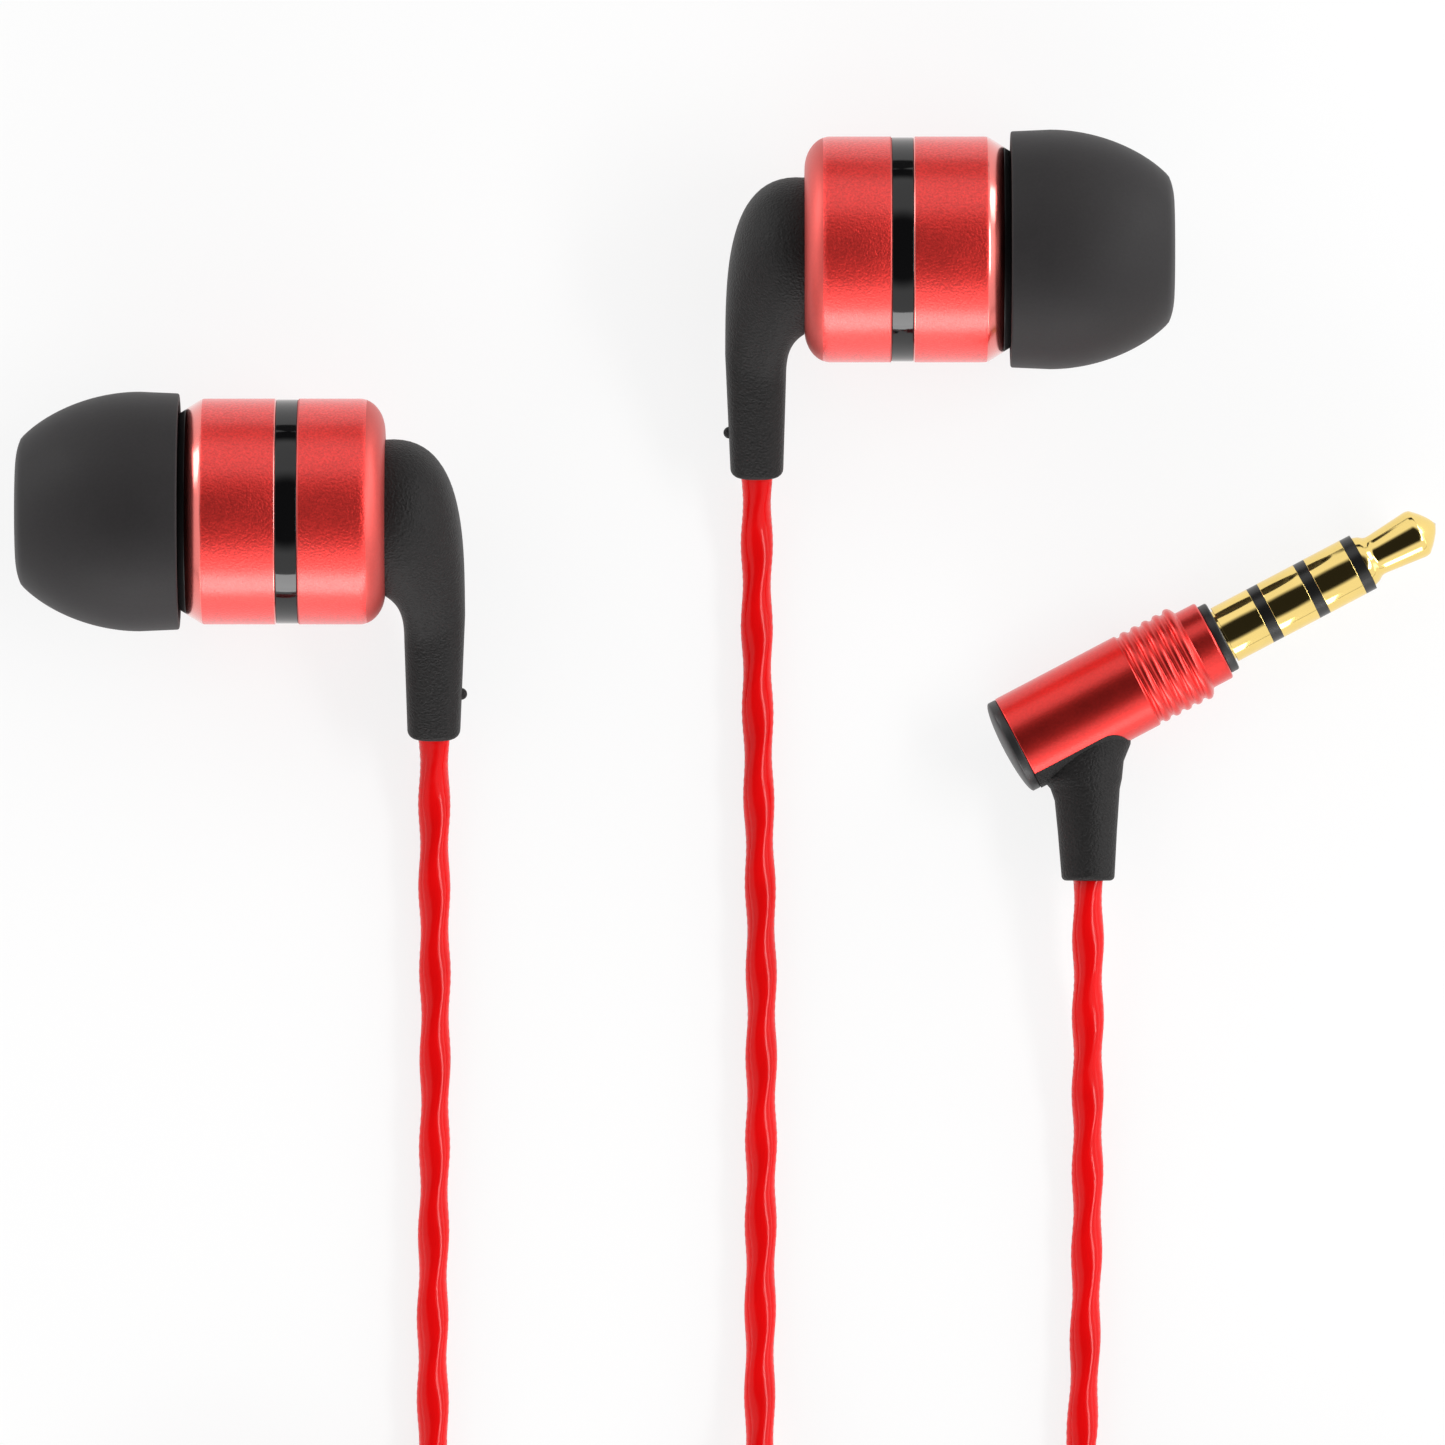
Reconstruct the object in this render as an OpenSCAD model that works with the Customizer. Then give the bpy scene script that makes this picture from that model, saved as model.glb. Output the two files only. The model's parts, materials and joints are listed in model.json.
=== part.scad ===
// Wired in-ear earphones, lying on a table with their lead put away in coils.
// Millimetres. X runs along both earpieces, Z is up, and the table is at z = 0.
// The origin is on the table, under the middle of the two earpieces.

/* [Housing] */
// Outer diameter of the metal housing
housing_d = 13.1; // [12:0.1:15]
// Wall of the front and rear shells
shell_wall = 0.6; // [0.4:0.05:0.8]
// Length of the rear shell
rear_len = 5.05; // [4.5:0.05:7]
// Thickness of the rear shell's closed end
rear_face_t = 0.8; // [0.6:0.05:1.4]
// Axial depth of the rounded rear shoulder
rear_round = 1.5; // [0.8:0.05:1.7]
// Radius of the flat disc inside that shoulder
rear_flat_r = 4.65; // [4:0.05:5]
// Length of the front shell
front_len = 5.25; // [5:0.05:7]
// Axial length of the polished front bevel
bevel_len = 0.95; // [0.5:0.05:1.4]
// Radial drop of the front bevel
bevel_drop = 0.58; // [0.3:0.02:0.7]
// Axial thickness of the lip round the front opening
lip_t = 0.7; // [0.4:0.05:1]
// How far that lip reaches inwards from the bore of the shell
lip_in = 0.45; // [0.3:0.05:0.7]

/* [Band] */
// Visible width of the black band between the shells
band_w = 1.25; // [0.8:0.05:2]
// How far the band lies below the shells
band_sink = 0.05; // [0.02:0.01:0.15]
// Length of the spigot that the band pushes into each shell
spigot_len = 0.8; // [0.5:0.05:1]
// Wall of those spigots
spigot_wall = 0.4; // [0.3:0.05:0.6]

/* [Nozzle] */
// Axial thickness of the visible black ring
collar_t = 0.4; // [0.3:0.05:0.8]
// Taper of that ring from back to front
collar_taper = 0.25; // [0.1:0.05:0.4]
// Length of the nozzle in front of the ring
nozzle_len = 6.6; // [5:0.1:8]
// Outer diameter of the nozzle's neck
neck_d = 4.5; // [4:0.1:5]
// Outer diameter of the lip that holds the ear tip
neck_lip_d = 4.9; // [4.6:0.1:5.4]
// Length of that lip
neck_lip_len = 0.8; // [0.5:0.05:1.2]
// Diameter of the sound bore
sound_bore_d = 3.4; // [2.8:0.1:3.6]
// Depth of the recess that holds the mesh
mesh_seat = 0.3; // [0.2:0.05:0.5]
// Thickness of the steel mesh
mesh_t = 0.15; // [0.1:0.05:0.2]

/* [Ear tip] */
// Greatest diameter of the silicone tip
tip_d = 13.9; // [13.2:0.1:16]
// Diameter of the tip's rear rim
tip_rim_d = 13.7; // [12.8:0.1:15]
// Length of the tip
tip_len = 9.65; // [8.8:0.05:11]
// Wall of the domed skirt
skirt_wall = 0.5; // [0.35:0.05:0.7]
// Wall of the inner tube that grips the nozzle
core_wall = 0.85; // [0.6:0.05:1.2]
// Diameter of the tip's sound opening
tip_open_d = 4.0; // [3:0.1:4.4]

/* [Driver] */
// Wall of the driver's frame
frame_wall = 0.6; // [0.4:0.05:0.8]
// Outer diameter of the steel yoke
yoke_d = 8.0; // [7.4:0.1:8.6]
// Depth of the yoke cup
yoke_len = 2.3; // [2.1:0.05:2.8]
// Wall of the yoke cup
yoke_wall = 0.45; // [0.35:0.05:0.5]
// Diameter of the magnet
magnet_d = 5.8; // [5:0.1:6]
// Thickness of the magnet
magnet_t = 1.1; // [0.9:0.05:1.3]
// Diameter of the top plate
plate_d = 6.0; // [5.6:0.05:6.1]
// Thickness of the top plate
plate_t = 0.45; // [0.3:0.05:0.5]
// Inner diameter of the voice coil
voice_d = 6.3; // [6.25:0.05:6.4]
// Thickness of the voice coil
voice_t = 0.2; // [0.1:0.02:0.2]
// Length of the voice coil
voice_len = 1.4; // [1.2:0.05:1.6]
// Thickness of the diaphragm
film_t = 0.12; // [0.1:0.01:0.2]
// Height of the diaphragm's dome
dome_h = 0.7; // [0.4:0.05:0.8]

/* [Boot] */
// Diameter of the rubber boot where it leaves the rear shell
boot_root_d = 9.1; // [8:0.1:9.2]
// How far the boot's root sits below the earpiece's axis
boot_root_drop = 0.4; // [0:0.05:0.5]
// Length from the earpiece's axis to the end of the boot
boot_drop = 13.65; // [12:0.05:18]
// Distance from the rear shell to the back of the boot
boot_back = 4.6; // [4.4:0.1:6]
// Thickness of the boot's leg at its top
leg_top_t = 3.55; // [3:0.05:3.7]
// Thickness of the boot's leg at its end
leg_end_t = 3.1; // [2.6:0.05:3.4]
// Width of the boot's leg
leg_w = 3.5; // [2.8:0.1:4]
// Diameter of the stem that passes through the rear shell
stem_d = 4.6; // [4:0.1:5.4]
// Radius of the small raised dot on the leg
dot_r = 0.35; // [0.2:0.05:0.5]
// Distance of the dot from the leg's end
dot_up = 2.4; // [1.5:0.1:4]
// Size of the bevel round the leg's end
boot_end_cut = 0.3; // [0.1:0.05:0.6]

/* [Plug] */
// Diameter of the four-pole plug
plug_pin_d = 3.5; // [3.5]
// Length of the plug's contacts
plug_pin_len = 14; // [14]
// Depth of the groove round the base of the contacts
pin_groove = 0.2; // [0.16:0.01:0.25]
// Width of that groove
pin_groove_w = 0.12; // [0.08:0.01:0.2]
// Width of each insulating ring
pole_gap = 0.67; // [0.5:0.01:0.7]
// Distance from one insulating ring to the next
pole_pitch = 3.05; // [2.9:0.05:3.1]
// Diameter of the neck behind the plug's head
pin_neck_d = 2.42; // [2.3:0.02:2.6]
// Diameter of the plug's head
pin_head_d = 2.92; // [2.7:0.02:3]
// Diameter of the metal barrel
barrel_d = 5.8; // [5.6:0.1:7]
// Length of the barrel behind the washer
barrel_len = 12.9; // [12:0.1:15]
// Wall of the barrel
barrel_wall = 0.45; // [0.35:0.05:0.6]
// Diameter of the collar in front of the ribs
barrel_collar_d = 4.88; // [4.6:0.02:5.2]
// Length of that collar
barrel_collar_len = 1.3; // [1:0.05:1.6]
// Pitch of the ribs
rib_pitch = 0.7; // [0.5:0.05:0.8]
// Depth of the grooves between the ribs
rib_depth = 0.17; // [0.1:0.01:0.25]
// Thickness of the black washer
washer_t = 0.55; // [0.4:0.05:0.8]
// Diameter of the black washer
washer_d = 4.3; // [4.1:0.1:4.6]
// Thickness of the domed end cap's rim
cap_rim = 0.45; // [0.3:0.05:0.8]
// Height of the end cap's dome
cap_dome = 0.45; // [0.3:0.05:0.8]
// Length of the slot that the rubber fills, from the barrel's open end
slot_len = 5.85; // [5:0.05:6.4]
// Depth of that slot below the barrel's axis, at its roof
slot_roof = 2.03; // [1.9:0.01:2.2]
// Angle of the plug from the X axis
plug_turn = 27.75; // [20:0.25:40]
// Length of the plug's rubber leg, from the plug's base line down
plug_leg_len = 14.25; // [13:0.05:18]
// Width of that leg at its end
plug_leg_end_w = 3.1; // [2.6:0.1:3.4]
// Width of that leg at its top
plug_leg_top_w = 3.75; // [3.4:0.05:4]
// Depth of that leg at its end
plug_leg_end_h = 3.0; // [2.6:0.1:3.4]

/* [Splitter] */
// Outer diameter of the metal sleeve over the Y joint
splitter_d = 5.0; // [4.8:0.1:6]
// Length of the sleeve
splitter_len = 12; // [10:0.5:16]
// Wall of the sleeve
splitter_wall = 0.35; // [0.25:0.05:0.5]
// Length of the rubber that stands out at each end
splitter_out = 3; // [2:0.5:4]

/* [Remote] */
// Length of the remote
remote_len = 24; // [23:0.5:30]
// Width of the remote
remote_w = 6.4; // [6:0.1:8]
// Thickness of the remote
remote_t = 5; // [4.8:0.1:6]
// Wall of the remote's shells
remote_wall = 0.7; // [0.5:0.05:0.9]
// Width of the buttons
button_w = 3.8; // [3:0.1:4.2]
// Length of the middle button
button_mid_len = 4.8; // [4:0.1:6]
// Length of each outer button
button_end_len = 5.6; // [5:0.1:6]
// How far the buttons stand out of the shell
button_proud = 0.2; // [0.1:0.05:0.4]
// How far each button travels when it is pressed
button_travel = 0.3; // [0.2:0.05:0.35]
// Clearance round each button
button_gap = 0.1; // [0.06:0.02:0.14]
// Thickness of the circuit board
board_t = 0.6; // [0.4:0.1:0.8]

/* [Cord] */
// Diameter of the cord
cord_d = 1.85; // [1.85]
// Spacing of the cord's turns and layers in a coil
coil_pitch = 2.3; // [2.3:0.05:2.5]
// Outer radius of the left coil, at the cord's centre line
left_coil_r = 11.8; // [11:0.1:12.5]
// Outer radius of the right coil
right_coil_r = 11.6; // [11:0.1:12.5]
// Outer radius of the main coil
main_coil_r = 13.1; // [12.5:0.1:13.6]

/* [Layout] */
// Distance between the two rear faces of the earpieces
rear_gap = 24.3; // [22:0.1:30]
// Distance between the axes of the two earpieces
axis_gap = 15.2; // [15:0.1:20]
// Roll of each earpiece that lets its boot down to the table
roll = 20; // [17:0.5:20]

/* [Fits] */
// Clearance of pieces that are glued or pressed together
seat_gap = 0.03; // [0.02:0.01:0.06]
// Clearance of the ear tip on its nozzle
tip_gap = 0.05; // [0.03:0.01:0.1]

/* [Hidden] */
$fn = 96;

// Housing, worked out along each earpiece's own axis from the rear face
housing_r = housing_d / 2;
shell_edge = 0.08;
band_edge = 0.05;
shell_in_r = housing_r - shell_wall;
front_x = rear_len + band_w;
nose_x = front_x + front_len;
nose_r = housing_r - bevel_drop;
opening_r = shell_in_r - lip_in;
collar_x = nose_x + collar_t;
spigot_r = shell_in_r - seat_gap;

// Nozzle and ear tip
neck_r = neck_d / 2;
neck_lip_r = neck_lip_d / 2;
sound_r = sound_bore_d / 2;
nozzle_end = collar_x + nozzle_len;
neck_x = collar_x + 0.5;
neck_lip_x = nozzle_end - neck_lip_len;
mesh_x = nozzle_end - mesh_seat;
mesh_r = sound_r + 0.25;
tip_r = tip_d / 2;
tip_rim_r = tip_rim_d / 2;
tip_end = collar_x + tip_len;
tip_grip_x = neck_x + tip_gap;
tip_step_x = nozzle_end + tip_gap;
core_in_r = neck_lip_r + tip_gap;
core_out_r = core_in_r + core_wall;
tip_open_r = tip_open_d / 2;

// Driver, from the band's spigot to the lip of the front shell
frame_x = front_x + spigot_len + seat_gap;
frame_end = nose_x - lip_t - seat_gap;
frame_in_r = spigot_r - frame_wall;
yoke_r = yoke_d / 2;
yoke_in_r = yoke_r - yoke_wall;
yoke_x = frame_x - 0.2;
magnet_x = yoke_x + yoke_wall;
plate_x = magnet_x + magnet_t;
frame_plate_x = yoke_x + 1.2;
voice_r = voice_d / 2;
voice_x = plate_x - 0.3;
film_x = voice_x + voice_len;
film_r = frame_in_r - 0.1;
film_ring_r = voice_r + voice_t + 0.1;

// Placing. Each earpiece lies on its ear tip, and the pair is centred on the origin
axis_z = tip_r;
rear_x = rear_gap / 2;
boot_reach = boot_drop * cos(roll) + (leg_w / 2 - boot_end_cut) * sin(roll);
right_axis_y = (axis_gap + boot_reach - tip_r) / 2;
left_axis_y = right_axis_y - axis_gap;
leg_lean = 0.3;
boot_end_x = leg_lean - boot_back + leg_end_t / 2;

// Plug, worked out along its own axis from the base of its contacts
pin_r = plug_pin_d / 2;
pin_base_r = pin_r - pin_groove;
barrel_r = barrel_d / 2;
barrel_in_r = barrel_r - barrel_wall;
last_rib_r = barrel_r + 0.03;
barrel_x = -washer_t - barrel_len;
plug_base = [36.5, -11.6, last_rib_r];
plug_leg_x = -7.83;
cap_peg_r = 1.2;
cap_peg_len = 0.8;

// Radii of the contacts' tubes, which nest in each other with an insulating tube between
// each two, and how far each of those tubes reaches back into the barrel
nest_r = [0.45, 0.65, 0.85, 1.05, 1.2, 1.4];
contact_back = [-5.6, -4.4, -3.2, -2.2];
insulator_back = [-5, -3.8, -2.6];
ring_x = [for (i = [0:2]) 8.9 - i * pole_pitch];

// Remote and splitter
remote_at = [9.57, -79, 0];
remote_r = remote_w / 2;
remote_mid_z = remote_t / 2;
relief_len = 3;
board_z = remote_mid_z - 0.2;
switch_h = 0.45;
switch_gap = 0.06;
window_r = button_w / 2 + button_gap;
window_len = button_mid_len + 2 * button_end_len + 4 * button_gap;
flange_z = board_z + board_t + switch_h + button_travel + switch_gap;
flange_t = 0.45;
flange_out = 0.4;
front_roof = remote_t - flange_z - flange_t - 0.05;
mic_y = remote_len / 2 - 3.6;
mic_r = 1.2;
edge_w = [0.8, 0.25];
edge_h = [0.9, 0.25];
splitter_at = [26, -126, splitter_d / 2];
splitter_r = splitter_d / 2;
pair_gap = 2.2;

// Cord routes. A lead of one cord diameter runs straight at each end of a coil
cord_r = cord_d / 2;
relief_r = cord_r + 0.4;
left_drop_x = -9.4;
right_coil_top_y = -101.6;
main_coil_top_y = -74.9;
main_rise_x = 48.3;
left_coil_at = [left_drop_x - left_coil_r, -76];
right_coil_at = [1.15, right_coil_top_y - right_coil_r];
main_coil_at = [main_rise_x - main_coil_r, main_coil_top_y - main_coil_r];
boot_out = [0, -cos(roll), -sin(roll)];
left_boot_end = [-(rear_x + boot_end_x), left_axis_y, axis_z] + boot_drop * boot_out;
right_boot_end = [rear_x + boot_end_x, right_axis_y, axis_z] + boot_drop * boot_out;
plug_leg_end = plug_base + [plug_leg_x, -plug_leg_len, 0];
relief_y = remote_len / 2 + relief_len;
splitter_x = splitter_len / 2 + splitter_out;

left_route = [
    left_boot_end, left_boot_end + 2 * boot_out, [left_drop_x, -22.5, 1.05],
    [left_drop_x, -26, 0.93], [-9.35, -34, 0.93], [left_drop_x, -43, 0.93], [-9.5, -52, 0.93],
    [-9.45, -61, 0.93], [left_drop_x, -68, 0.93]
];
right_route = [
    right_boot_end, right_boot_end + 2 * boot_out, [9.4, -7.2, 1.05], [9.4, -11, 0.93],
    [9.5, -20, 0.93], [9.65, -30, 0.93], [9.65, -40, 0.93], [9.6, -50, 0.93],
    [9.57, -55, 1.1], [9.57, -59, 1.8], [9.57, -62, 2.4]
];
middle_route = [[9.57, -96, 2.45], [8.9, -98.7, 2.0], [7, -100.8, 1.3], [4.9, -101.5, 0.98]];
left_lower_route = [
    [left_drop_x, -80.5, 3.05], [-9.8, -85, 2.1], [-11, -90.5, 1.05], [-12.8, -96.5, 0.93],
    [-14.2, -104, 0.93], [-14.4, -111, 0.93], [-13.8, -117, 0.93], [-11.8, -122.2, 0.93],
    [-8, -126, 0.93], [-3, -127.1, 0.93], [4, -127.1, 0.93], [10, -127.1, 1.3],
    [14, -127.1, 2.2]
];
right_lower_route = [[7, -124.85, 3.15], [11, -124.9, 2.75], [14.5, -124.9, 2.52]];
main_lower_route = [
    [38, -126, 2.2], [41.5, -124.8, 1.4], [45, -121.6, 0.95], [47.5, -117, 0.93],
    [main_rise_x, -111.5, 0.98], [main_rise_x, -107, 1.8], [main_rise_x, -103, 3.5],
    [main_rise_x, -99, 5.6], [main_rise_x, -95, 7.1]
];
main_route = [
    [31.4, -74.4, 0.93], [29.9, -73.2, 0.93], [28.4, -70.8, 0.93], [27.8, -67.5, 0.93],
    [28, -63, 0.93], [28.4, -57, 0.93], [28.6, -49, 0.93], [28.67, -43, 0.98],
    [28.67, -38, 1.4], [28.67, -33, 2.3], [28.67, -29, 2.85]
];

// ---- helpers -------------------------------------------------------------

// Solid of revolution about X from [x, radius] pairs
module turned(profile) {
    rotate([0, 90, 0])
        rotate_extrude()
            polygon([for (p = profile) [p[1], p[0]]]);
}

module tube(x0, x1, r0, r1) {
    turned([[x0, r0], [x1, r0], [x1, r1], [x0, r1]]);
}

function bezier(p, t) =
    pow(1 - t, 3) * p[0] + 3 * pow(1 - t, 2) * t * p[1]
    + 3 * (1 - t) * t * t * p[2] + pow(t, 3) * p[3];

function curve(p, n) = [for (i = [0:n]) bezier(p, i / n)];

// Rounded shoulder from a flat disc of radius r0 out to radius r1, over an axial depth
function shoulder(depth, r0, r1, n) =
    [for (i = [0:n]) [depth * (1 - cos(90 * i / n)), r0 + (r1 - r0) * sin(90 * i / n)]];

// Closed skin through rings that all have the same number of points
module skin(rings) {
    n = len(rings[0]);
    last = len(rings) - 1;
    points = [for (ring = rings) each ring];
    sides = [
        for (i = [0:last - 1], j = [0:n - 1])
            let (a = i * n + j, b = i * n + (j + 1) % n)
                each [[a, b, a + n], [b, b + n, a + n]]
    ];
    start = [for (j = [n - 1:-1:0]) j];
    end = [for (j = [0:n - 1]) last * n + j];
    polyhedron(points, concat([start], sides, [end]), convexity = 10);
}

function unit(v) = v / norm(v);

// Round ring of a cord, square to its run
function cord_ring(at, along, sides) =
    let (side = unit(cross(along, [0, 0, 1])), up = cross(side, along))
        [for (j = [0:sides - 1])
            let (a = 360 * (j + 0.5) / sides)
                at + cord_r * (cos(a) * side + sin(a) * up)];

// Skin round a path. Its two end faces are square to the runs given, or to the path
module swept(path, sides, first_run = undef, last_run = undef) {
    last = len(path) - 1;
    skin([for (i = [0:last])
        let (run =
            i == 0 && first_run != undef ? first_run
            : i == last && last_run != undef ? last_run
            : unit(path[min(i + 1, last)] - path[max(i - 1, 0)]))
            cord_ring(path[i], run, sides)]);
}

// A coil's centre line: it spirals in and out again, and climbs where it turns back
function wave(q, turns) =
    let (k = floor(q / turns), f = q - k * turns)
        k % 2 == 0 ? f : turns - f;

function ease(u) = (1 - cos(180 * min(1, max(0, u)))) / 2;

function climb(q, turns, layers) =
    layers < 2 ? 0
    : coil_pitch * [for (k = [1:layers - 1]) ease(2 * (q - k * turns) + 0.5)]
        * [for (k = [1:layers - 1]) 1];

function coil_point(at, r, start, way, q, turns, layers) =
    let (a = start + way * 360 * q, s = r - coil_pitch * wave(q, turns))
        [at[0] + s * cos(a), at[1] + s * sin(a), cord_r + climb(q, turns, layers)];

function coil_lead(at, r, a, way, z, back) =
    [at[0] + r * cos(a) + back * way * sin(a), at[1] + r * sin(a) - back * way * cos(a), z];

// [centre, outer radius, start angle, way round, turns in each layer, layers]
left_wind = [left_coil_at, left_coil_r, 0, -1, 2, 2];
right_wind = [right_coil_at, right_coil_r, 90, 1, 2.25, 2];
main_wind = [main_coil_at, main_coil_r, 90, -1, 3.0625, 4];

// Direction of a coil's run at angle a
function wind_run(w, a) = w[3] * [-sin(a), cos(a), 0];

function wind_end(w) = wind_run(w, w[2] + w[3] * 360 * w[4] * w[5]);

function wind_path(w) =
    let (
        total = w[4] * w[5],
        steps = round(24 * total),
        last = w[2] + w[3] * 360 * total,
        top = cord_r + (w[5] - 1) * coil_pitch
    )
        concat(
            [coil_lead(w[0], w[1], w[2], w[3], cord_r, cord_d)],
            [for (i = [0:steps])
                coil_point(w[0], w[1], w[2], w[3], min(i * total / steps, total - 0.00001), w[4], w[5])],
            [coil_lead(w[0], w[1], last, w[3], top, -cord_d)]
        );

// Least gap of a coil to itself, past its own neighbouring points
near_points = 9;
function least_gap(path) =
    let (last = len(path) - 1)
        min([for (i = [0:last - near_points], j = [i + near_points:last]) norm(path[i] - path[j])])
        - cord_d;

function run_length(path) = [for (i = [1:len(path) - 1]) norm(path[i] - path[i - 1])]
    * [for (i = [1:len(path) - 1]) 1];

module coil(w, name) {
    path = wind_path(w);
    echo(str(name, " least gap ", least_gap(path), " mm, length ", run_length(path)));
    color("#d01418") swept(path, 6, wind_run(w, w[2]), wind_end(w));
}

left_path = wind_path(left_wind);
right_path = wind_path(right_wind);
main_path = wind_path(main_wind);

module cord(path, first_run, last_run) {
    color("#d01418") swept(path, 8, first_run, last_run);
}

module on_right() {
    translate([rear_x, right_axis_y, axis_z])
        rotate([roll, 0, 0])
            children();
}

module on_left() {
    mirror([1, 0, 0])
        translate([rear_x, left_axis_y, axis_z])
            rotate([roll, 0, 0])
                children();
}

module on_plug() {
    translate(plug_base)
        rotate([0, 0, plug_turn])
            children();
}

// ---- earpiece ------------------------------------------------------------

module ear_tip() {
    wide_x = collar_x + 2.3;
    crown_x = tip_end - 0.55;
    crown_r = tip_open_r + 2.42;
    skirt_r = tip_r - skirt_wall;
    core_edge = 0.2;
    outside = concat(
        [[collar_x, tip_rim_r]],
        curve([[wide_x, tip_r], [wide_x + 2.75, tip_r], [crown_x - 1.4, tip_r - 1.15], [crown_x, crown_r]], 9)
    );
    front = curve([[crown_x + 0.27, crown_r - 0.45], [crown_x + 0.42, crown_r - 0.85],
        [tip_end, tip_open_r + 0.8], [tip_end - 0.12, tip_open_r + 0.25]], 5);
    bore = [
        [tip_end - 0.5, tip_open_r], [tip_step_x, tip_open_r], [tip_step_x, core_in_r],
        [tip_grip_x, core_in_r], [tip_grip_x, core_out_r - core_edge],
        [tip_grip_x + core_edge, core_out_r]
    ];
    inside = concat(
        [[crown_x - 2.6, core_out_r], [crown_x - 1.5, core_out_r + 0.25], [crown_x - 1.1, core_out_r + 0.7]],
        curve([[crown_x - 1.25, crown_r - 0.1], [crown_x - 2.2, tip_r - 1.5],
            [wide_x + 2.6, skirt_r], [wide_x, skirt_r]], 6),
        [[collar_x, tip_rim_r - skirt_wall]]
    );
    color("#3e3d3f") turned(concat(outside, front, bore, inside));
}

module nozzle() {
    plug_r = opening_r - seat_gap;
    ring_r = nose_r - seat_gap;
    foot_r = neck_r + 0.7;
    lip_round = 0.25;
    color("#1c1b1c")
        turned([
            [nose_x - lip_t, plug_r], [nose_x, plug_r], [nose_x, ring_r],
            [collar_x, ring_r - collar_taper], [collar_x + 0.2, foot_r + 0.5],
            [neck_x, foot_r], [neck_x, neck_r], [neck_lip_x, neck_r],
            [neck_lip_x + 0.15, neck_lip_r], [mesh_x, neck_lip_r],
            [nozzle_end, neck_lip_r - lip_round], [nozzle_end, mesh_r],
            [mesh_x, mesh_r], [mesh_x, sound_r],
            [nose_x + 0.3, sound_r], [nose_x - lip_t, plug_r - 1.6]
        ]);
}

module nozzle_mesh() {
    color("#9a9a9a") tube(mesh_x, mesh_x + mesh_t, 0, mesh_r - seat_gap);
}

module front_shell() {
    color("#d2302a")
        turned([
            [front_x, shell_in_r], [front_x, housing_r - shell_edge], [front_x + shell_edge, housing_r],
            [nose_x - bevel_len, housing_r], [nose_x - bevel_len + 0.25, housing_r - 0.05],
            [nose_x, nose_r], [nose_x, opening_r], [nose_x - lip_t, opening_r],
            [nose_x - lip_t, shell_in_r]
        ]);
}

module band() {
    band_r = housing_r - band_sink;
    color("#0f0f10")
        turned([
            [rear_len - spigot_len, spigot_r - spigot_wall], [rear_len - spigot_len, spigot_r],
            [rear_len, spigot_r], [rear_len, band_r - band_edge], [rear_len + band_edge, band_r],
            [front_x - band_edge, band_r], [front_x, band_r - band_edge], [front_x, spigot_r],
            [front_x + spigot_len, spigot_r], [front_x + spigot_len, spigot_r - spigot_wall]
        ]);
}

module rear_shell() {
    color("#d2302a")
        difference() {
            turned(concat(
                [[0, 0]],
                shoulder(rear_round, rear_flat_r, housing_r, 10),
                [[rear_len - shell_edge, housing_r], [rear_len, housing_r - shell_edge], [rear_len, shell_in_r],
                    [rear_face_t + 0.8, shell_in_r], [rear_face_t, shell_in_r - 0.9], [rear_face_t, 0]]
            ));
            translate([0, -boot_root_drop, 0])
                tube(-1, rear_face_t + 1, 0, stem_d / 2);
        }
}

// Elbow boot. Each section spans from the boot's back to its inner side, and is an oval
// that turns from the round root on the shell to the flatter leg
module boot() {
    root_r = boot_root_d / 2;
    back = -boot_back;
    end_back = boot_end_x - leg_end_t / 2;
    elbow_y = -6.4;
    crotch_y = -7.8;
    swell = 0.15;
    outer = curve([[0, root_r - boot_root_drop], [back - 0.15, root_r - boot_root_drop + 0.35],
        [back + 0.03, -2], [back, elbow_y]], 10);
    inner = curve([[0, -root_r - boot_root_drop], [-0.75, -5.4], [-1.05, -6.2],
        [back + leg_top_t, crotch_y]], 10);
    half_w = [for (i = [0:10]) bezier([root_r, root_r, leg_w / 2 + 0.8, leg_w / 2 + swell], i / 10)];
    leg_steps = 4;
    leg = [for (i = [1:leg_steps])
        let (u = i / leg_steps)
            [[back + (end_back - back) * u, elbow_y + (boot_end_cut - boot_drop - elbow_y) * u],
             [back + leg_top_t + (end_back + leg_end_t - back - leg_top_t) * u,
                 crotch_y + (boot_end_cut - boot_drop - crotch_y) * u],
             leg_w / 2 + swell * (1 - u)]];
    // The end's bevel, rounded by one ring between its two edges
    end = [for (d = [[0.3, 0.3], [1, 0]])
        let (side = d[0] * boot_end_cut, up = d[1] * boot_end_cut)
            [[end_back + side, up - boot_drop], [end_back + leg_end_t - side, up - boot_drop],
                leg_w / 2 - side]];
    spans = concat([for (i = [0:10]) [outer[i], inner[i], half_w[i]]], leg, end);
    sides = 28;
    color("#343233") {
        skin([for (i = [0:len(spans) - 1])
            let (
                s = spans[i],
                c = (s[0] + s[1]) / 2,
                u = (s[0] - s[1]) / 2,
                square = 2 + 0.7 * min(1, i / 10)
            )
                [for (j = [0:sides - 1])
                    let (
                        a = 360 * j / sides,
                        p = sign(cos(a)) * pow(abs(cos(a)), 2 / square),
                        q = sign(sin(a)) * pow(abs(sin(a)), 2 / square)
                    )
                        [c[0] + u[0] * p, c[1] + u[1] * p, s[2] * q]]]);
        translate([end_back - 0.05, -boot_drop + dot_up, 0])
            sphere(dot_r, $fn = 32);
        translate([0, -boot_root_drop, 0]) {
            tube(-0.5, rear_face_t, 0, stem_d / 2);
            tube(rear_face_t, rear_face_t + 0.6, 0, stem_d / 2 + 0.5);
        }
    }
}

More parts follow.
